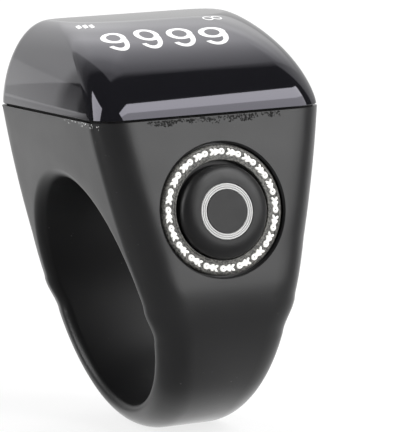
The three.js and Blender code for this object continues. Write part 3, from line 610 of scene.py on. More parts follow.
def face_matrix():
    """Frame of the button unit: origin on the front face, +Z out of the face, +Y up the face"""
    sizes = bpy.context.scene.counter_button
    middle_depth = sizes.trim_depth + sizes.trim_thickness / 2
    origin = (TRIM_LOW + TRIM_HIGH) / 2 - INWARD * middle_depth
    up = Vector((1, 0, 0)).cross(INWARD)
    turn = Matrix(((1, 0, 0), tuple(up), tuple(-INWARD))).transposed()
    return Matrix.Translation(origin) @ turn.to_4x4()


def place_on_face(item, down=0):
    """Moves a mesh from the button unit's own frame onto the front face, or a little lower on it"""
    item.data.transform(face_matrix() @ Matrix.Translation((0, -down, 0)))
    return item


# Ring body

def body_half_length(sizes, z):
    """Half-length of the body at height z: head taper, hollow shoulder, then the narrowing band"""
    if z >= sizes.shoulder_top:
        share = (z - sizes.shoulder_top) / (HEAD_TOP - sizes.shoulder_top)
        bulge = 4 * sizes.head_bulge * share * (1 - share)
        return sizes.shoulder_half_length + (HEAD_HALF_LENGTH - sizes.shoulder_half_length) * share + bulge
    if z >= sizes.shoulder_foot:
        share = (z - sizes.shoulder_foot) / (sizes.shoulder_top - sizes.shoulder_foot)
        share = share * share * (3 - 2 * share)
        return sizes.half_length + (sizes.shoulder_half_length - sizes.half_length) * share
    share = (z + BAND_BOTTOM_RADIUS) / (sizes.shoulder_foot + BAND_BOTTOM_RADIUS)
    return sizes.bottom_half_length + (sizes.half_length - sizes.bottom_half_length) * share


def wall_lean(sizes, edge):
    """Lean of the straight wall that runs from an edge of the head down to touch the band's circle"""
    radius = sizes.bore_radius + sizes.side_wall
    return math.atan2(HEAD_TOP, edge) - math.acos(radius / math.hypot(edge, HEAD_TOP))


def outline_side(sizes, edge, wall_steps=26, arc_steps=72):
    """Outline of one side in Y and Z, from above the head down to the bottom, with outward normals"""
    lean = wall_lean(sizes, edge)
    radius = sizes.bore_radius + sizes.side_wall
    normal = Vector((math.cos(lean), math.sin(lean)))
    high = Vector((edge, HEAD_TOP)) + Vector((-math.sin(lean), math.cos(lean))) * OVERCUT
    points = [(high.lerp(normal * radius, k / wall_steps), normal) for k in range(wall_steps)]
    for k in range(arc_steps):
        angle = lean + (-math.pi / 2 - lean) * k / arc_steps
        thinning = math.sin(angle) ** 2 if angle < 0 else 0
        outward = Vector((math.cos(angle), math.sin(angle)))
        points.append((outward * (radius + (BAND_BOTTOM_RADIUS - radius) * thinning), outward))
    return points


def wall_loop(sizes, place, normal, corner_steps=12, side_steps=6):
    """Loop round the body's wall at one point of the outline: lead-in, side, corner and their mirror image"""
    radial = place.normalized()
    thickness = place.length - sizes.bore_radius
    lead_in = min(sizes.lead_in, sizes.lead_in_share * thickness)
    descent = min(1, max(0, 1 - place.y / HEAD_TOP))
    radius = sizes.head_corner + (sizes.band_corner - sizes.head_corner) * descent
    below = min(1, max(0, -place.y / sizes.reach_foot))
    reach = sizes.head_reach + (sizes.band_corner - sizes.head_reach) * below
    corner = min(reach, sizes.corner_reach * thickness)
    depth = min(radius, sizes.corner_depth * thickness)
    half = []
    for k in range(corner_steps + 1):
        angle = k / corner_steps * math.pi / 2
        at = radial * (sizes.bore_radius + lead_in * (1 - math.cos(angle)))
        half.append((body_half_length(sizes, at.y) - lead_in * (1 - math.sin(angle)), at))
    inner = radial * (sizes.bore_radius + lead_in)
    outer = place - normal * depth
    for k in range(1, side_steps):
        at = inner.lerp(outer, k / side_steps)
        half.append((body_half_length(sizes, at.y), at))
    for k in range(corner_steps + 1):
        angle = k / corner_steps * math.pi / 2
        at = place - normal * depth * (1 - math.sin(angle))
        half.append((body_half_length(sizes, at.y) - corner * (1 - math.cos(angle)), at))
    right = [Vector((x, at.x, at.y)) for x, at in half]
    left = [Vector((-x, at.x, at.y)) for x, at in reversed(half)]
    return right + left


def head_edges():
    """How far the head reaches to the front and to the back at its top"""
    overhang = bpy.context.scene.counter_cover.overhang
    return -COVER_LOW.y - overhang, COVER_HIGH.y - overhang


def body_wall(sizes, roof_steps=14):
    """Outer wall of the ring body round the bore, closed over the head"""
    head_front, head_back = head_edges()
    flip = Matrix(((-1, 0), (0, 1)))
    front = [(flip @ place, flip @ normal) for place, normal in outline_side(sizes, head_front)]
    back = list(reversed(outline_side(sizes, head_back)))
    down = Vector((0, -1))
    stations = [*front, (down * BAND_BOTTOM_RADIUS, down), *back]
    last = stations[-1][0]
    first = front[0][0]
    stations += [(last.lerp(first, k / roof_steps), Vector((0, 1))) for k in range(1, roof_steps)]
    loops = [wall_loop(sizes, place, normal) for place, normal in stations]
    return new_object("ring_body_moulding", *skin(loops, joined=True))


def head_cutters(sizes):
    """Cutters of the hollow head: a narrow space over the bore's crown and a wide one above the ledge"""
    corner = 1.2 * MM
    head_front, head_back = head_edges()
    front = head_front - sizes.switch_room
    lean = math.tan(wall_lean(sizes, head_back))

    def level(z, inset):
        back = head_back - sizes.head_wall + (HEAD_TOP - z) * lean
        return rounded_loop(
            body_half_length(sizes, min(z, HEAD_TOP)) - sizes.head_wall - inset, front - inset, back - inset,
            corner, corner, z, steps=6,
        )

    floor = HEAD_TOP - sizes.cavity_depth
    lower = new_object("lower_space", *skin([
        level(floor, sizes.ledge), level(BOARD_LOW.z + sizes.ledge, sizes.ledge),
    ]))
    reach = 2 * HEAD_HALF_LENGTH
    radius = sizes.bore_radius + sizes.crown_wall
    steps = 180
    crown = new_object("crown", *skin([
        [
            Vector((x, radius * math.cos(2 * math.pi * k / steps), radius * math.sin(2 * math.pi * k / steps)))
            for k in range(steps)
        ]
        for x in (-reach, reach)
    ]))
    cut(lower, [crown])
    upper = new_object("upper_space", *skin([level(BOARD_LOW.z, 0), level(HEAD_TOP + OVERCUT, 0)]))
    return [lower, upper]


def flange_depths(sizes):
    """Depths of the flange's top and floor below the front face"""
    top = sizes.trim_depth + sizes.trim_thickness + sizes.flange_play
    return top, top + sizes.flange_thickness


def switch_cutters(button):
    """Cutters of the button's pocket, the flange's well, the switch's recess and the flex tail's slot"""
    clearance = 0.2 * MM
    bond = 0.04 * MM
    sheet = 0.15 * MM
    bend = 0.5 * MM
    slot_half_width = 1.5 * MM + clearance
    floor = button.trim_depth + button.trim_thickness
    flange_floor = flange_depths(button)[1]
    well = flange_floor + button.travel + button.well_clearance
    flex_top = flange_floor + button.nib_length + button.nib_play + button.dome_rise + bond
    recess = flex_top + 2 * (sheet + bond)
    edge = button.pocket_radius + button.pocket_break
    pocket = turned("pocket", [
        (0, -floor - bond), (button.pocket_radius, -floor - bond),
        (button.pocket_radius, -button.pocket_break), (edge, 0), (edge, OVERCUT), (0, OVERCUT),
    ])
    radius = button.flange_radius + button.well_clearance
    flange_well = turned("flange_well", [(0, -well), (radius, -well), (radius, OVERCUT), (0, OVERCUT)])
    radius = button.pad_radius + button.well_clearance
    switch = turned("switch_recess", [(0, -recess), (radius, -recess), (radius, OVERCUT), (0, OVERCUT)])
    slot = block(
        "flex_slot", Vector((-slot_half_width, 0, -recess)),
        Vector((slot_half_width, HEAD_TOP, clearance - flex_top)),
    )
    run_height = (CONNECTOR_LOW.z + CONNECTOR_HIGH.z) / 2
    notch = block(
        "flex_notch",
        Vector((-slot_half_width, flex_top - clearance - head_edges()[0], run_height - bend - 2 * clearance)),
        Vector((slot_half_width, CONNECTOR_LOW.y, HEAD_TOP + OVERCUT)),
    )
    return [*[place_on_face(item) for item in (pocket, flange_well, switch, slot)], notch]


def socket_cutter():
    """Cutter of the charging inlet: two cut-off corners, and a bevel round its mouth"""
    clearance = 0.2 * MM
    chamfer = 0.9 * MM
    bevel = 0.25 * MM
    centre = (SOCKET_LOW + SOCKET_HIGH) / 2
    loops = []
    for y, grow in (
        (SOCKET_LOW.y, 0), (SOCKET_HIGH.y + 0.12 * MM, 0), (SOCKET_HIGH.y + 0.12 * MM + bevel, bevel),
        (SOCKET_HIGH.y + OVERCUT, 3 * bevel),
    ):
        wide = (SOCKET_HIGH.x - SOCKET_LOW.x) / 2 + clearance + grow
        high = (SOCKET_HIGH.z - SOCKET_LOW.z) / 2 + clearance + grow
        loops.append([
            Vector((x, y, centre.z + z)) for x, z in (
                (-wide, high), (wide, high), (wide, chamfer - high), (wide - chamfer, -high),
                (chamfer - wide, -high), (-wide, chamfer - high),
            )
        ])
    return new_object("inlet", *skin(loops))


class COUNTER_OT_ring_body(Operator):
    """Make the moulded ring body with its hollow head, button pocket and charging inlet"""
    bl_idname = "counter.ring_body"
    bl_label = "Ring body"

    def execute(self, context):
        scene = context.scene
        item = body_wall(scene.counter_body)
        size = 4 * HEAD_HALF_LENGTH
        lid = block("lid", Vector((-size, -size, HEAD_TOP)), Vector((size, size, HEAD_TOP + size)))
        cut(item, [
            lid, *head_cutters(scene.counter_body), *switch_cutters(scene.counter_button), socket_cutter(),
        ])
        complete(item, matt_moulded_abs(scene.counter_colours), "counter", ["ring_body"])
        return {"FINISHED"}


# Cover

def drawn_in(reach, power, share):
    """How far a side of the cover has drawn in at a share of its height"""
    return reach * (1 - max(0, 1 - share ** power) ** (1 / power))


def cover_rectangle(sizes, share, inset=0):
    """Half-length, front, back, front corner and back corner of the cover at a share of its height"""
    easing = sizes.roll_share * inset
    half_length = COVER_HIGH.x - inset - drawn_in(sizes.side_roll - easing, sizes.side_power, share)
    front = -COVER_LOW.y - inset - drawn_in(sizes.front_roll - easing, sizes.front_power, share)
    back = COVER_HIGH.y - inset - drawn_in(sizes.back_roll - easing, sizes.back_power, share)
    corners = [
        min(
            sizes.corner + (top - sizes.corner) * share ** sizes.corner_power - easing,
            sizes.corner_limit * (front + back),
        )
        for top in (sizes.top_front_corner, sizes.top_back_corner)
    ]
    return half_length, front, back, *corners


def cover_loops(sizes, inset, levels=56):
    """Loops of the cover from its foot to its top"""
    height = COVER_HIGH.z - COVER_LOW.z - inset
    loops = []
    for k in range(levels + 1):
        share = math.sin(k / levels * math.pi / 2)
        loop = rounded_loop(*cover_rectangle(sizes, share, inset), COVER_LOW.z + height * share)
        loops.append(bowed(loop, sizes))
    return loops


def bowed(loop, sizes):
    """Loop of the cover whose long sides draw in a little towards the front and the back"""
    middle = (COVER_LOW.y + COVER_HIGH.y) / 2
    half = (COVER_HIGH.y - COVER_LOW.y) / 2
    for point in loop:
        point.x -= math.copysign(sizes.bow * ((point.y - middle) / half) ** 2, point.x)
    return loop


def beyond(x, y, half_length, front, back, front_corner, back_corner):
    """Whether a point lies outside a rectangle with round corners"""
    margin = half_length - abs(x)
    if margin < 0 or not -front < y < back:
        return True
    for depth, corner in ((front + y, front_corner), (back - y, back_corner)):
        if max(depth, margin) < corner:
            return math.hypot(corner - depth, corner - margin) > corner
    return False


def cover_point(sizes, x, y):
    """Point of the cover's outer surface above x and y"""
    low, high = 0.0, 1.0
    for _ in range(30):
        share = (low + high) / 2
        if beyond(x, y, *cover_rectangle(sizes, share)):
            high = share
        else:
            low = share
    return Vector((x, y, COVER_LOW.z + (COVER_HIGH.z - COVER_LOW.z) * low))


class COUNTER_OT_display_cover(Operator):
    """Make the smoked pillow-shaped cover as a shell"""
    bl_idname = "counter.display_cover"
    bl_label = "Display cover"

    def execute(self, context):
        sizes = context.scene.counter_cover
        outside = cover_loops(sizes, 0)
        foot = []
        steps = 4
        for k in range(steps):
            angle = k / steps * math.pi / 2
            rectangle = cover_rectangle(sizes, 0, sizes.foot_round * (1 - math.sin(angle)))
            height = COVER_LOW.z + sizes.foot_round * (1 - math.cos(angle))
            foot.append(bowed(rounded_loop(*rectangle, height), sizes))
        outside = [*foot, *[loop for loop in outside if loop[0].z > foot[-1][0].z + sizes.foot_round / 5]]
        inside = cover_loops(sizes, sizes.wall, levels=24)
        item = new_object("display_cover_shell", *skin([*reversed(inside), *outside]))
        complete(item, polished_smoked_acrylic(context.scene.counter_colours), "counter",
                 ["display_cover"])
        return {"FINISHED"}


# Button unit

def arc(centre_radius, centre_height, radius, start, end, steps, rise=None):
    """Radius and height pairs on an arc of a profile, angles in degrees; rise is its own radius upward"""
    pairs = []
    for k in range(steps + 1):
        angle = math.radians(start + (end - start) * k / steps)
        pairs.append((
            centre_radius + radius * math.cos(angle), centre_height + (rise or radius) * math.sin(angle),
        ))
    return pairs


class COUNTER_OT_trim_ring(Operator):
    """Make the trim ring: an inner lip, a flat bed for the braid and a well rounded outer edge"""
    bl_idname = "counter.trim_ring"
    bl_label = "Trim ring"

    def execute(self, context):
        sizes = context.scene.counter_button
        face = -sizes.trim_depth
        floor = face - sizes.trim_thickness
        lip = 0.07 * MM
        bed = face - 0.06 * MM
        inner_bed = sizes.trim_inner + 0.17 * MM
        edge = 0.26 * MM
        outer_bed = sizes.trim_outer - edge - 0.03 * MM
        profile = [
            (sizes.trim_inner, floor),
            (sizes.trim_outer, floor),
            *arc(sizes.trim_outer - edge, face - edge, edge, 0, 90, 10),
            (outer_bed, bed),
            (inner_bed, bed),
            (inner_bed - lip / 2, face),
            *arc(sizes.trim_inner + lip, face - lip, lip, 90, 180, 6),
        ]
        item = place_on_face(turned("button_trim", profile))
        complete(item, textured_trim_abs(), "counter", ["button_trim_ring"])
        return {"FINISHED"}


class COUNTER_OT_push_button(Operator):
    """Make the push button with its flange, nib, round rim and the groove of the grey ring"""
    bl_idname = "counter.push_button"
    bl_label = "Push button"

    def execute(self, context):
        sizes = context.scene.counter_button
        top = sizes.button_proud
        flange_top, flange_floor = [-depth for depth in flange_depths(sizes)]
        gap = 0.03 * MM
        groove = top - sizes.inlay_depth - gap
        rim = arc(
            sizes.button_radius - sizes.button_crown, top - sizes.button_rim, sizes.button_crown, 0, 90, 20,
            sizes.button_rim,
        )
        inlay_inner = sizes.inlay_radius - sizes.inlay_width
        profile = [
            (0, flange_floor - sizes.nib_length),
            (sizes.nib_radius, flange_floor - sizes.nib_length),
            (sizes.nib_radius, flange_floor),
            (sizes.flange_radius, flange_floor),
            (sizes.flange_radius, flange_top),
            (sizes.button_radius, flange_top),
            *rim,
            (sizes.inlay_radius + gap, top),
            (sizes.inlay_radius + gap, groove),
            (inlay_inner - gap, groove),
            (inlay_inner - gap, top),
            (0, top),
        ]
        item = place_on_face(turned("push_button_cap", profile), sizes.button_sag)
        complete(item, satin_moulded_abs(context.scene.counter_colours), "button",
                 ["push_button"])
        return {"FINISHED"}


class COUNTER_OT_snap_dome(Operator):
    """Make the sprung dome under the nib, in the shape it has at rest"""
    bl_idname = "counter.snap_dome"
    bl_label = "Snap dome"

    def execute(self, context):
        sizes = context.scene.counter_button
        base = -flange_depths(sizes)[1] - sizes.nib_length - sizes.nib_play - sizes.dome_rise
        steps = 12
        over = []
        under = []
        for k in range(steps + 1):
            share = k / steps
            over.append((sizes.dome_radius * share, base + sizes.dome_rise * (1 - share ** 2)))
            under.append((
                (sizes.dome_radius - sizes.dome_thickness) * share,
                base + (sizes.dome_rise - sizes.dome_thickness) * (1 - share ** 2),
            ))
        item = place_on_face(turned("sprung_dome", under + over[::-1], steps=64))
        complete(item, metal("sprung_stainless", linear("#c8cacc"), 0.2, 0.2), "counter",
                 ["snap_dome"])
        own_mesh(item)
        return {"FINISHED"}


class COUNTER_OT_button_inlay(Operator):
    """Make the light grey ring on the button, with its fine concentric lines"""
    bl_idname = "counter.button_inlay"
    bl_label = "Grey ring"

    def execute(self, context):
        sizes = context.scene.counter_button
        top = sizes.button_proud
        inner = sizes.inlay_radius - sizes.inlay_width
        lines = 3
        pitch = sizes.inlay_width / lines
        depth = 0.08 * MM
        profile = [(inner, top - sizes.inlay_depth), (sizes.inlay_radius, top - sizes.inlay_depth)]
        for k in range(lines):
            outer = sizes.inlay_radius - k * pitch
            profile += [
                (outer, top - depth), (outer - 0.25 * pitch, top), (outer - 0.75 * pitch, top),
            ]
        profile.append((inner, top - depth))
        item = place_on_face(turned("button_grey_ring", profile), sizes.button_sag)
        complete(item, turned_inlay(context.scene.counter_colours), "button",
                 ["button_ring_inlay"])
        return {"FINISHED"}


def dome(radius_x, radius_y, height, x=0, y=0, turn=0, hole=0, steps=12, rings=3):
    """Points and faces of a flattened dome on the XY plane, or of a ring if it has a hole"""
    rotation = Matrix.Rotation(turn, 2)
    loops = []
    for row in range(2 * rings + 1 if hole else rings):
        sweep = math.pi / 2 * row / rings
        scale = hole + (1 - hole) * (1 + math.cos(sweep)) / 2 if hole else math.cos(sweep)
        loop = []
        for k in range(steps):
            angle = 2 * math.pi * k / steps
            at = rotation @ Vector((radius_x * math.cos(angle), radius_y * math.sin(angle))) * scale
            loop.append(Vector((x + at.x, y + at.y, height * math.sin(sweep))))
        loops.append(loop)
    points, faces = skin(loops, joined=bool(hole))
    if not hole:
        last = (rings - 1) * steps
        faces.pop()
        faces += [(last + k, last + (k + 1) % steps, len(points)) for k in range(steps)]
        points.append(Vector((x, y, height)))
    return points, faces


def gathered(name, parts):
    """One object from several sets of points and faces"""
    points = []
    faces = []
    for part_points, part_faces in parts:
        start = len(points)
        points += part_points
        faces += [tuple(start + index for index in face) for face in part_faces]
    return new_object(name, points, faces)


def braid_link(sizes):
    """One link of the braid, pointing along +X: two pairs of prongs on a spine, and a pierced bead

    Its parts are placed by shares of a link's length along the ring and of the braid's half-width.
    """
    pitch = 2 * math.pi * sizes.braid_radius / sizes.braid_repeats
    half = sizes.braid_width / 2
    height = sizes.braid_height
    lean = math.radians(34)
    prongs = [
        dome(
            0.15 * pitch, 0.44 * half, height, x=place * pitch, y=side * 0.52 * half, turn=-side * lean,
            steps=10,
        )
        for place in (-0.31, -0.07)
        for side in (-1, 1)
    ]
    return gathered("braid_link", prongs + [
        dome(0.15 * pitch, 0.55 * half, height, x=-0.2 * pitch, steps=10),
        dome(0.13 * pitch, 0.66 * half, height, x=0.04 * pitch, steps=10),
        dome(0.2 * pitch, 0.98 * half, height, x=0.26 * pitch, hole=0.16, steps=14),
    ])


def growing_tree(name, inputs):
    """Geometry nodes tree with named inputs; returns the tree and what the inputs give"""
    tree = bpy.data.node_groups.new(name, "GeometryNodeTree")
    tree.interface.new_socket("Geometry", in_out="OUTPUT", socket_type="NodeSocketGeometry")
    for label, kind in inputs:
        tree.interface.new_socket(label, in_out="INPUT", socket_type=kind)
    return tree, add(tree, "NodeGroupInput").outputs


def made_real(tree, instances, material):
    """Ends a tree: its instances become a mesh with their material"""
    real = add(tree, "GeometryNodeRealizeInstances", {"Geometry": instances})
    finished = add(tree, "GeometryNodeSetMaterial", {"Geometry": real, "Material": material})
    add(tree, "NodeGroupOutput", {"Geometry": finished})
    return tree


def ring_of_links_tree(material):
    """Geometry nodes: a motif set round a circle, turned to follow it"""
    tree, given = growing_tree("ring_of_links", (
        ("Motif", "NodeSocketObject"), ("Radius", "NodeSocketFloat"), ("Repeats", "NodeSocketInt"),
    ))
    circle = add(tree, "GeometryNodeMeshCircle", {"Vertices": given["Repeats"], "Radius": given["Radius"]})
    index = add(tree, "GeometryNodeInputIndex")
    share = add(tree, "ShaderNodeMath", {0: index, 1: given["Repeats"]}, operation="DIVIDE")
    # A link that points clockwise is turned back by a quarter turn from its radius
    angle = add(tree, "ShaderNodeMath", {0: share, 1: 2 * math.pi, 2: -math.pi / 2}, operation="MULTIPLY_ADD")
    motif = add(tree, "GeometryNodeObjectInfo", {"Object": given["Motif"]}).outputs["Geometry"]
    links = add(
        tree, "GeometryNodeInstanceOnPoints",
        {"Points": circle, "Instance": motif, "Rotation": add(tree, "ShaderNodeCombineXYZ", {"Z": angle})},
    )
    return made_real(tree, links, material)


def grown(name, tree, values):
    """Plain mesh object that a geometry nodes tree makes with the given inputs"""
    item = bpy.data.objects.new(name, bpy.data.meshes.new(name))
    bpy.context.scene.collection.objects.link(item)
    modifier = item.modifiers.new("nodes", "NODES")
    modifier.node_group = tree
    for socket in tree.interface.items_tree:
        if socket.in_out == "INPUT" and socket.name in values:
            modifier[socket.identifier] = values[socket.name]
    return baked(item)


class COUNTER_OT_braid(Operator):
    """Make the white braid on the trim ring"""
    bl_idname = "counter.braid"
    bl_label = "Braid"

    def execute(self, context):
        sizes = context.scene.counter_button
        material = pad_printed_enamel(context.scene.counter_colours)
        link = braid_link(sizes)
        item = grown("braid_ornament", ring_of_links_tree(material), {
            "Motif": link, "Radius": sizes.braid_radius, "Repeats": sizes.braid_repeats,
        })
        bpy.data.objects.remove(link)
        bed = -sizes.trim_depth - 0.06 * MM
        item.data.transform(Matrix.Translation((0, 0, bed)))
        place_on_face(item)
        complete(item, material, "counter")
        return {"FINISHED"}


# Traces of assembly

class TraceSizes(PropertyGroup):
    """Glue that was pressed out of the front seam, and polishing dust that stuck in the side seam"""
    glue_length: length("Glue length", 11, "Length of the glue's strip under the front seam")
    glue_width: length("Glue width", 0.5, "Width of that strip")
    glue_lump: length("Glue lump", 0.075, "Radius of a large lump of glue")
    dust_length: length("Dust length", 7, "Length of the dusty part of the side seam")
    dust_width: length("Dust width", 0.35, "Width of that part")
    dust_speck: length("Dust speck", 0.055, "Radius of a large speck of dust")


def lumps_tree(material):
    """Geometry nodes: flattened lumps on a strip, denser in patches and towards the strip's upper edge"""
    labels = ("Length", "Width", "Density", "Largest", "Patch Scale", "Falloff")
    tree, given = growing_tree("scattered_lumps", [(label, "NodeSocketFloat") for label in labels])
    grid = add(
        tree, "GeometryNodeMeshGrid",
        {"Size X": given["Length"], "Size Y": given["Width"], "Vertices X": 240, "Vertices Y": 12},
    )
    place = add(tree, "GeometryNodeInputPosition")
    patches = add(tree, "ShaderNodeTexNoise", {"Vector": place, "Scale": given["Patch Scale"], "Detail": 3})
    up = add(tree, "ShaderNodeSeparateXYZ", {"Vector": place}).outputs["Y"]
    height = add(tree, "ShaderNodeMath", {0: up, 1: given["Width"]}, operation="DIVIDE")
    below = add(tree, "ShaderNodeMath", {0: 0.5, 1: height}, operation="SUBTRACT")
    falling = add(tree, "ShaderNodeMath", {0: below, 1: given["Falloff"]}, operation="MULTIPLY")
    left = add(tree, "ShaderNodeMath", {0: patches, 1: falling}, operation="SUBTRACT")
    share = add(tree, "ShaderNodeMapRange", {"Value": left, "From Min": 0.3, "From Max": 0.42})
    density = add(tree, "ShaderNodeMath", {0: given["Density"], 1: share}, operation="MULTIPLY")
    points = add(tree, "GeometryNodeDistributePointsOnFaces", {"Mesh": grid, "Density": density, "Seed": 4})
    least = add(tree, "ShaderNodeMath", {0: given["Largest"], 1: 0.35}, operation="MULTIPLY")
    radius = add(tree, "FunctionNodeRandomValue", {2: least, 3: given["Largest"], "Seed": 7})
    flat = add(tree, "ShaderNodeMath", {0: radius, 1: 0.45}, operation="MULTIPLY")
    scale = add(tree, "ShaderNodeCombineXYZ", {"X": radius, "Y": radius, "Z": flat})
    lump = add(tree, "GeometryNodeMeshIcoSphere", {"Radius": 1, "Subdivisions": 2})
    lumps = add(
        tree, "GeometryNodeInstanceOnPoints", {"Points": points, "Instance": lump, "Scale": scale},
    )
    return made_real(tree, lumps, material)


def on_wall(item, seam, along, outward):
    """Moves a strip from its own frame onto a wall, with its upper edge on a point of the seam"""
    up = outward.cross(along)
    turn = Matrix((tuple(along), tuple(up), tuple(outward))).transposed()
    high = max(point.co.y for point in item.data.vertices)
    item.data.transform(Matrix.Translation(seam - up * high) @ turn.to_4x4())
    return item


class COUNTER_OT_traces(Operator):
    """Make the traces of gluing and polishing at the seam under the cover"""
    bl_idname = "counter.traces"
    bl_label = "Traces of assembly"

    def execute(self, context):
        scene = context.scene
        sizes = scene.counter_traces
        glue_material = cured_glue()
        glue = grown("glue_residue", lumps_tree(glue_material), {
            "Length": sizes.glue_length, "Width": sizes.glue_width, "Density": 1.4e8,
            "Largest": sizes.glue_lump, "Patch Scale": 600.0, "Falloff": 0.26,
        })
        on_wall(glue, Vector((0, -head_edges()[0], HEAD_TOP)), Vector((1, 0, 0)), -INWARD)
        complete(glue, glue_material, "counter")

        dust_material = polishing_dust()
        dust = grown("seam_dust", lumps_tree(dust_material), {
            "Length": sizes.dust_length, "Width": sizes.dust_width, "Density": 1.6e7,
            "Largest": sizes.dust_speck, "Patch Scale": 900.0, "Falloff": 0.2,
        })
        fall = HEAD_TOP / 4
        taper = HEAD_HALF_LENGTH - body_half_length(scene.counter_body, HEAD_TOP - fall)
        outward = Vector((-fall, 0, -taper)).normalized()
        seam = Vector((-HEAD_HALF_LENGTH, -sizes.dust_length, HEAD_TOP))
        on_wall(dust, seam, Vector((0, -1, 0)), outward)
        complete(dust, dust_material, "counter")
        return {"FINISHED"}


# Lit signs

def ellipse(centre_x, centre_y, radius_x, radius_y, start=0, end=360, steps=40):
    """Points on an elliptic arc, angles in degrees; a whole turn leaves out its last point"""
    points = []
    for k in range(steps if end - start == 360 else steps + 1):
        angle = math.radians(start + (end - start) * k / steps)
        points.append(Vector((centre_x + radius_x * math.cos(angle), centre_y + radius_y * math.sin(angle))))
    return points


def ribbon(path, width, closed=False):
    """Left and right edge of a flat line along a path"""
    left = []
    right = []
    count = len(path)
    for k, point in enumerate(path):
        before = path[k - 1] if closed or k else point
        after = path[(k + 1) % count] if closed or k < count - 1 else point
        along = (after - before).normalized()
        across = Vector((-along.y, along.x)) * width / 2
        left.append(point + across)
        right.append(point - across)
    return left, right, closed


def sign_on_cover(cover, sizes, strokes):
    """Points and faces of thin raised strokes that follow the cover; strokes are (left, right, closed)"""
    parts = []
    for left, right, closed in strokes:
        points = []
        for edge in (left, right):
            for point in edge:
                base = cover_point(cover, point.x, point.y)
                points += [base - Vector((0, 0, sizes.lift)), base + Vector((0, 0, sizes.lift))]
        count = len(left)
        faces = []
        for k in range(count if closed else count - 1):
            n = (k + 1) % count
            a, b = 2 * k, 2 * n
            c, d = 2 * (count + k), 2 * (count + n)
            faces += [
                (a + 1, c + 1, d + 1, b + 1), (a, b, d, c), (a, a + 1, b + 1, b), (c, d, d + 1, c + 1),
            ]
        if not closed:
            a, c = 0, 2 * count
            faces.append((a, c, c + 1, a + 1))
            a, c = 2 * (count - 1), 2 * (2 * count - 1)
            faces.append((a, a + 1, c + 1, c))
        parts.append((points, faces))
    return parts


def digit_strokes(sizes, figure, place):
    """Strokes of a figure, wide at its sides and thin at its top and foot; place is its share of the row

    The cover bends down towards its corner, so the row's first digit is narrower there and leans.
    """
    if figure != "9":
        raise ValueError(f"no strokes for figure {figure}")
    thick = sizes.stroke
    thin = sizes.thin_stroke
    half_width = sizes.digit_width / 2
    half_height = sizes.digit_height / 2
    bowl_height = 0.62 * half_height
    bowl_y = half_height - bowl_height
    bowl = (
        ellipse(0, bowl_y, half_width - thick, bowl_height - thin),
        ellipse(0, bowl_y, half_width, bowl_height),
        True,
    )
    tail = (
        ellipse(0, -0.22 * half_height, half_width - thick, 0.78 * half_height - 1.25 * thin, -145, 20),
        ellipse(0, 0, half_width, half_height, -145, 20),
        False,
    )
    middle_x = sizes.row_x + (place - 0.5) * sizes.row_length
    middle_y = sizes.row_y - (place - 0.5) * sizes.row_drop
    narrowing = 0.87 + 0.2 * place
    stretch = 1.05 - 0.17 * place
    lean = -0.22 * (1 - place) ** 2

    def laid(edge):
        return [
            Vector((middle_x + narrowing * point.x, middle_y + stretch * point.y + lean * point.x))
            for point in edge
        ]

    return [(laid(left), laid(right), closed) for left, right, closed in (bowl, tail)]


def battery_strokes(sizes):
    """Three bars that lean with the cover's corner"""
    first = Vector(sizes.bars_first)
    step = Vector(sizes.bars_step)
    half = Vector((0.02 * sizes.bar_height, sizes.bar_height / 2))
    return [
        ribbon([first + step * k + half * (1 - share) for share in (0, 0.5, 1, 1.5, 2)], -sizes.bar_width)
        for k in range(3)
    ]


def loop_strokes(sizes):
    """The loop sign: two lying rings that touch"""
    radius = sizes.loop_length / 4
    return [
        ribbon(
            ellipse(
                sizes.loop_x + side * radius, sizes.loop_y + side * sizes.loop_rise, radius,
                sizes.loop_height / 2,
            ),
            sizes.loop_line, True,
        )
        for side in (-1, 1)
    ]


class COUNTER_OT_lit_signs(Operator):
    """Make the lit digits, the battery bars and the loop on the cover"""
    bl_idname = "counter.lit_signs"
    bl_label = "Lit signs"

    def execute(self, context):
        cover = context.scene.counter_cover
        sizes = context.scene.counter_display
        strokes = []
        for k, figure in enumerate(sizes.reading):
            strokes += digit_strokes(sizes, figure, k / (len(sizes.reading) - 1))
        strokes += battery_strokes(sizes) + loop_strokes(sizes)
        item = gathered("lit_signs", sign_on_cover(cover, sizes, strokes))
        light = lit_segment(context.scene.counter_colours)
        complete(item, light, "counter")
        return {"FINISHED"}


# Parts that keep their model's shape

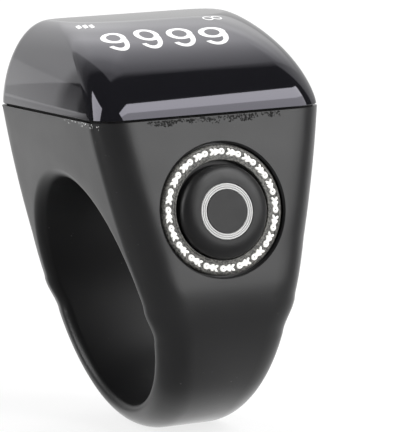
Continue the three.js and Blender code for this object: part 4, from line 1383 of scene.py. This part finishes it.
class COUNTER_OT_inner_parts(Operator):
    """Give each part inside the head, and the charging inlet, its finish"""
    bl_idname = "counter.inner_parts"
    bl_label = "Inner parts"

    def execute(self, context):
        laminate = printed_board()
        epoxy = moulded("moulded_epoxy", linear("#1a1a1c"), 0.5, 0.06, 0.006)
        tinned = metal("tinned_steel_sheet", linear("#b9bcc0"), 0.3, 0.4)
        amber = flexible_board()
        white = moulded("white_pbt", linear("#e6e6e2"), 0.5, 0.1, 0.004)
        resin = moulded("light_resin", linear("#f2f2ee"), 0.35, 0.5, 0.002)
        finishes = {
            "cover_adhesive": moulded("seam_adhesive", linear("#121212"), 0.8, 0.3, 0.02),
            "switch_stiffener": tinned,
            "switch_flex": amber,
            "display_jumper": amber,
            "main_board": laminate,
            "display_board": laminate,
            "controller_chip": epoxy,
            "charger_chip": epoxy,
            "socket_tongue": epoxy,
            "clock_crystal": tinned,
            "charge_socket": metal("nickel_plated_steel", linear("#c3c3c0"), 0.28, 0.3, (1, 0.1, 1)),
            "flex_connector": white,
            "display_reflector": white,
            "diffuser_film": resin,
            "battery_cell": metal("aluminium_foil_pouch", linear("#c3c6c9"), 0.35, 1.5),
            "battery_pad": moulded("foam_tape", linear("#2a2a2a"), 0.9, 0.25, 0.04),
            "battery_lead_red": moulded("red_silicone", linear("#a81a1a"), 0.45, 0.3, 0.004),
            "battery_lead_black": moulded("black_silicone", linear("#161616"), 0.45, 0.3, 0.004),
            "display_carrier": moulded("black_nylon", linear("#232325"), 0.55, 0.15, 0.01),
        }
        finishes.update({name: resin for name in frame["nodes"] if "_block" in name})
        for name, material in finishes.items():
            node = frame["nodes"][name]
            node.data.materials.clear()
            node.data.materials.append(material)
        return {"FINISHED"}


# Stage

def direction(azimuth, elevation):
    """Unit vector; azimuth runs from +Y towards +X, in degrees"""
    a, e = math.radians(azimuth), math.radians(elevation)
    return Vector((math.sin(a) * math.cos(e), math.cos(a) * math.cos(e), math.sin(e)))


def softbox(name, azimuth, elevation, width, height, levels, sides=((0, 1), (1, 1)), turn=0):
    """Soft lamp that faces the object, covers width by height degrees of its view and is turned in its plane

    Levels are pairs of a share of its height, from its foot, and the light there; sides are pairs of a share
    of its width and the share of the light that is left there.
    """
    peak = max(level for _, level in levels)
    lamp = bpy.data.lights.new(name, "AREA")
    lamp.shape = "RECTANGLE"
    lamp.size = 2 * LAMP_DISTANCE * math.tan(math.radians(width / 2))
    lamp.size_y = 2 * LAMP_DISTANCE * math.tan(math.radians(height / 2))
    lamp.energy = math.pi * lamp.size * lamp.size_y * peak
    lamp.use_nodes = True
    tree = lamp.node_tree
    tree.nodes.clear()
    place = add(tree, "ShaderNodeNewGeometry").outputs["Parametric"]
    parts = add(tree, "ShaderNodeSeparateXYZ", {"Vector": place}).outputs
    shares = []
    for axis, pairs in (("Y", [(share, level / peak) for share, level in levels]), ("X", sides)):
        node = add(tree, "ShaderNodeValToRGB", {"Fac": parts[axis]})
        stops = node.color_ramp.elements
        for share, level in pairs[1:-1]:
            stops.new(share)
        for stop, (share, level) in zip(stops, pairs):
            stop.position = share
            stop.color = (level, level, level, 1)
        shares.append(node)
    light = add(tree, "ShaderNodeVectorMath", {0: shares[0], 1: shares[1]}, operation="MULTIPLY")
    emission = add(tree, "ShaderNodeEmission", {"Color": light, "Strength": 1})
    add(tree, "ShaderNodeOutputLight", {"Surface": emission})
    item = bpy.data.objects.new(name, lamp)
    towards = direction(azimuth, elevation)
    item.location = towards * LAMP_DISTANCE
    item.rotation_mode = "QUATERNION"
    item.rotation_quaternion = towards.to_track_quat("Z", "Y") @ Quaternion((0, 0, 1), math.radians(turn))
    item.visible_camera = False
    bpy.context.scene.collection.objects.link(item)
    return item


def bright_side(tree, place, softness, azimuth):
    """1 to the right of the line that leaves the object at an azimuth, 0 to its left"""
    edge = math.radians(azimuth)
    across = (math.cos(edge), -math.sin(edge), 0)
    line = add(tree, "ShaderNodeVectorMath", {0: place, 1: across}, operation="DOT_PRODUCT")
    return add(tree, "ShaderNodeMapRange", {"Value": line, "From Min": -softness, "From Max": softness})


def seen_rays(tree):
    """1 for glossy and transmission rays, otherwise 0; then 1 for camera rays, otherwise 0"""
    rays = add(tree, "ShaderNodeLightPath").outputs
    mirrored = add(
        tree, "ShaderNodeMath", {0: rays["Is Glossy Ray"], 1: rays["Is Transmission Ray"]}, operation="MAXIMUM",
    )
    return mirrored, rays["Is Camera Ray"]


def pale_floor():
    """Pale paper floor: mostly its own white where it is seen, and it keeps some of the shadow; in mirrors it
    glows brighter ahead of the object, to its right and right under it, as painted reflections
    """
    material = bpy.data.materials.new("white_paper_floor")
    material.use_nodes = True
    tree = material.node_tree
    tree.nodes.clear()
    place = add(tree, "ShaderNodeTexCoord").outputs["Object"]
    mirrored, camera = seen_rays(tree)
    # Painted reflection: the floor seen in mirrors is brighter ahead of the object and to its right, and dim
    # elsewhere
    depth = add(tree, "ShaderNodeSeparateXYZ", {"Vector": place}).outputs["Y"]
    ahead = add(
        tree, "ShaderNodeMapRange",
        {"Value": depth, "From Min": -0.03, "From Max": 0.01, "To Min": 0.2, "To Max": 1.25},
    )
    right = add(
        tree, "ShaderNodeMath", {0: bright_side(tree, place, 0.01, -28), 1: bright_side(tree, place, 0.004, 3)},
        operation="MAXIMUM",
    )
    # Painted reflection: a glow right under the object, seen only in mirrors, that lights up the band's
    # underside
    level = add(tree, "ShaderNodeVectorMath", {0: place, 1: (1, 1, 0)}, operation="MULTIPLY")
    away = add(tree, "ShaderNodeVectorMath", {0: level}, operation="LENGTH")
    near = add(
        tree, "ShaderNodeMapRange",
        {"Value": away, "From Min": 0.002, "From Max": 0.01, "To Min": 1.6, "To Max": 0},
    )
    lit = add(
        tree, "ShaderNodeMath", {0: add(tree, "ShaderNodeMix", {0: right, 2: 0.12, 3: ahead}), 1: near},
        operation="ADD",
    )
    strength = add(tree, "ShaderNodeMix", {0: camera, 2: lit, 3: 1})
    white = add(tree, "ShaderNodeEmission", {"Color": (1, 1, 1, 1), "Strength": strength})
    paper = add(tree, "ShaderNodeBsdfDiffuse", {"Color": linear("#f4f4f4")})
    seen = add(tree, "ShaderNodeMath", {0: mirrored, 1: camera}, operation="MAXIMUM")
    share = add(tree, "ShaderNodeMath", {0: seen, 1: 0.78}, operation="MULTIPLY")
    mixed = add(tree, "ShaderNodeMixShader", {0: share, 1: paper, 2: white})
    add(tree, "ShaderNodeOutputMaterial", {"Surface": mixed})
    return material


def white_studio(world):
    """World: white where the camera sees it, in mirrors white behind the object, and a dim fill otherwise"""
    world.use_nodes = True
    tree = world.node_tree
    tree.nodes.clear()
    towards = add(tree, "ShaderNodeTexCoord").outputs["Generated"]
    parts = add(tree, "ShaderNodeSeparateXYZ", {"Vector": towards}).outputs
    mirrored, camera = seen_rays(tree)
    back = add(tree, "ShaderNodeMapRange", {"Value": parts["Y"], "From Min": 0, "From Max": 0.06})
    behind = add(
        tree, "ShaderNodeMath", {0: bright_side(tree, towards, 0.012, -24), 1: back}, operation="MULTIPLY",
    )
    low = add(
        tree, "ShaderNodeMapRange",
        {"Value": parts["Z"], "From Min": 0, "From Max": 0.3, "To Min": 0.72, "To Max": 1},
    )
    wall = add(tree, "ShaderNodeMix", {0: behind, 2: 0.11, 3: low})
    unseen = add(tree, "ShaderNodeMix", {0: mirrored, 2: 0.2, 3: wall})
    strength = add(tree, "ShaderNodeMix", {0: camera, 2: unseen, 3: 1})
    background = add(tree, "ShaderNodeBackground", {"Color": (1, 1, 1, 1), "Strength": strength})
    add(tree, "ShaderNodeOutputWorld", {"Surface": background})


class COUNTER_OT_stage(Operator):
    """Make the camera, the pale floor, the soft lamps and the white surroundings"""
    bl_idname = "counter.stage"
    bl_label = "Stage"

    def execute(self, context):
        sizes = context.scene.counter_stage
        camera = bpy.data.objects.new("camera", bpy.data.cameras.new("camera"))
        context.scene.collection.objects.link(camera)
        context.scene.camera = camera
        camera.data.sensor_fit = "HORIZONTAL"
        camera.data.sensor_width = 36
        camera.data.lens = sizes.lens
        camera.data.clip_start = 0.01
        camera.data.clip_end = 10
        place = Vector(sizes.camera)
        look = (Vector(sizes.target) - place).to_track_quat("-Z", "Y")
        camera.rotation_mode = "QUATERNION"
        camera.location = place
        camera.rotation_quaternion = look @ Quaternion((0, 0, 1), sizes.roll)

        half = sizes.floor_half
        floor = new_object(
            "paper_floor",
            [Vector((x * half, y * half, BODY_LOW.z)) for x, y in ((-1, -1), (1, -1), (1, 1), (-1, 1))],
            [(0, 1, 2, 3)],
        )
        floor.data.materials.append(pale_floor())

        softbox(
            "front_softbox", 146.5, 26, 55, 64,
            ((0, 0.5), (0.1, 1.4), (0.2, 3), (0.32, 4.4), (0.77, 4.5), (0.79, 8), (1, 7.8)),
        )
        softbox(
            "top_back_softbox", 3, 46.4, 88.6, 69.2,
            (
                (0, 0.5), (0.12, 1.04), (0.24, 1.36), (0.36, 2.42), (0.46, 2.52), (0.54, 3.23), (0.62, 2.34),
                (0.7, 1.84), (0.78, 0.87), (0.86, 0.52), (0.93, 0), (1, 0),
            ),
            sides=((0, 0.14), (0.25, 1), (0.5, 0.92), (0.75, 0.36), (0.87, 0.2), (1, 0.3)), turn=-34.4,
        )
        softbox("back_wash_softbox", -14, 2, 26, 12, ((0, 0.2), (0.3, 0.5), (0.6, 0.4), (1, 0.2)))
        softbox("left_strip_softbox", -82, 24, 28, 48, ((0, 6.4), (1, 6.8)))

        world = bpy.data.worlds.new("studio")
        context.scene.world = world
        white_studio(world)
        context.scene.view_settings.view_transform = "Standard"
        return {"FINISHED"}


class COUNTER_PT_panel(Panel):
    """Lists the operators that build the counter"""
    bl_label = "Finger Counter"
    bl_idname = "COUNTER_PT_panel"
    bl_space_type = "VIEW_3D"
    bl_region_type = "UI"
    bl_category = "Finger Counter"

    def draw(self, context):
        for operator in OPERATORS:
            self.layout.operator(operator.bl_idname)


OPERATORS = (
    COUNTER_OT_ring_body,
    COUNTER_OT_display_cover,
    COUNTER_OT_trim_ring,
    COUNTER_OT_push_button,
    COUNTER_OT_snap_dome,
    COUNTER_OT_button_inlay,
    COUNTER_OT_braid,
    COUNTER_OT_traces,
    COUNTER_OT_lit_signs,
    COUNTER_OT_inner_parts,
    COUNTER_OT_stage,
)
GROUPS = {
    "counter_body": BodySizes,
    "counter_cover": CoverSizes,
    "counter_button": ButtonSizes,
    "counter_traces": TraceSizes,
    "counter_display": DisplaySizes,
    "counter_colours": FinishColours,
    "counter_stage": StageSizes,
}


def register():
    """Makes the classes and the scene's sizes and colours known"""
    for item in (*GROUPS.values(), *OPERATORS, COUNTER_PT_panel):
        bpy.utils.register_class(item)
    for name, group in GROUPS.items():
        setattr(bpy.types.Scene, name, PointerProperty(type=group))


def unregister():
    """Takes them away again"""
    for name in GROUPS:
        delattr(bpy.types.Scene, name)
    for item in reversed((*GROUPS.values(), *OPERATORS, COUNTER_PT_panel)):
        bpy.utils.unregister_class(item)


def main():
    """Builds all pieces in order"""
    register()
    for operator in OPERATORS:
        group, name = operator.bl_idname.split(".")
        getattr(getattr(bpy.ops, group), name)()


if __name__ == "__main__":
    main()
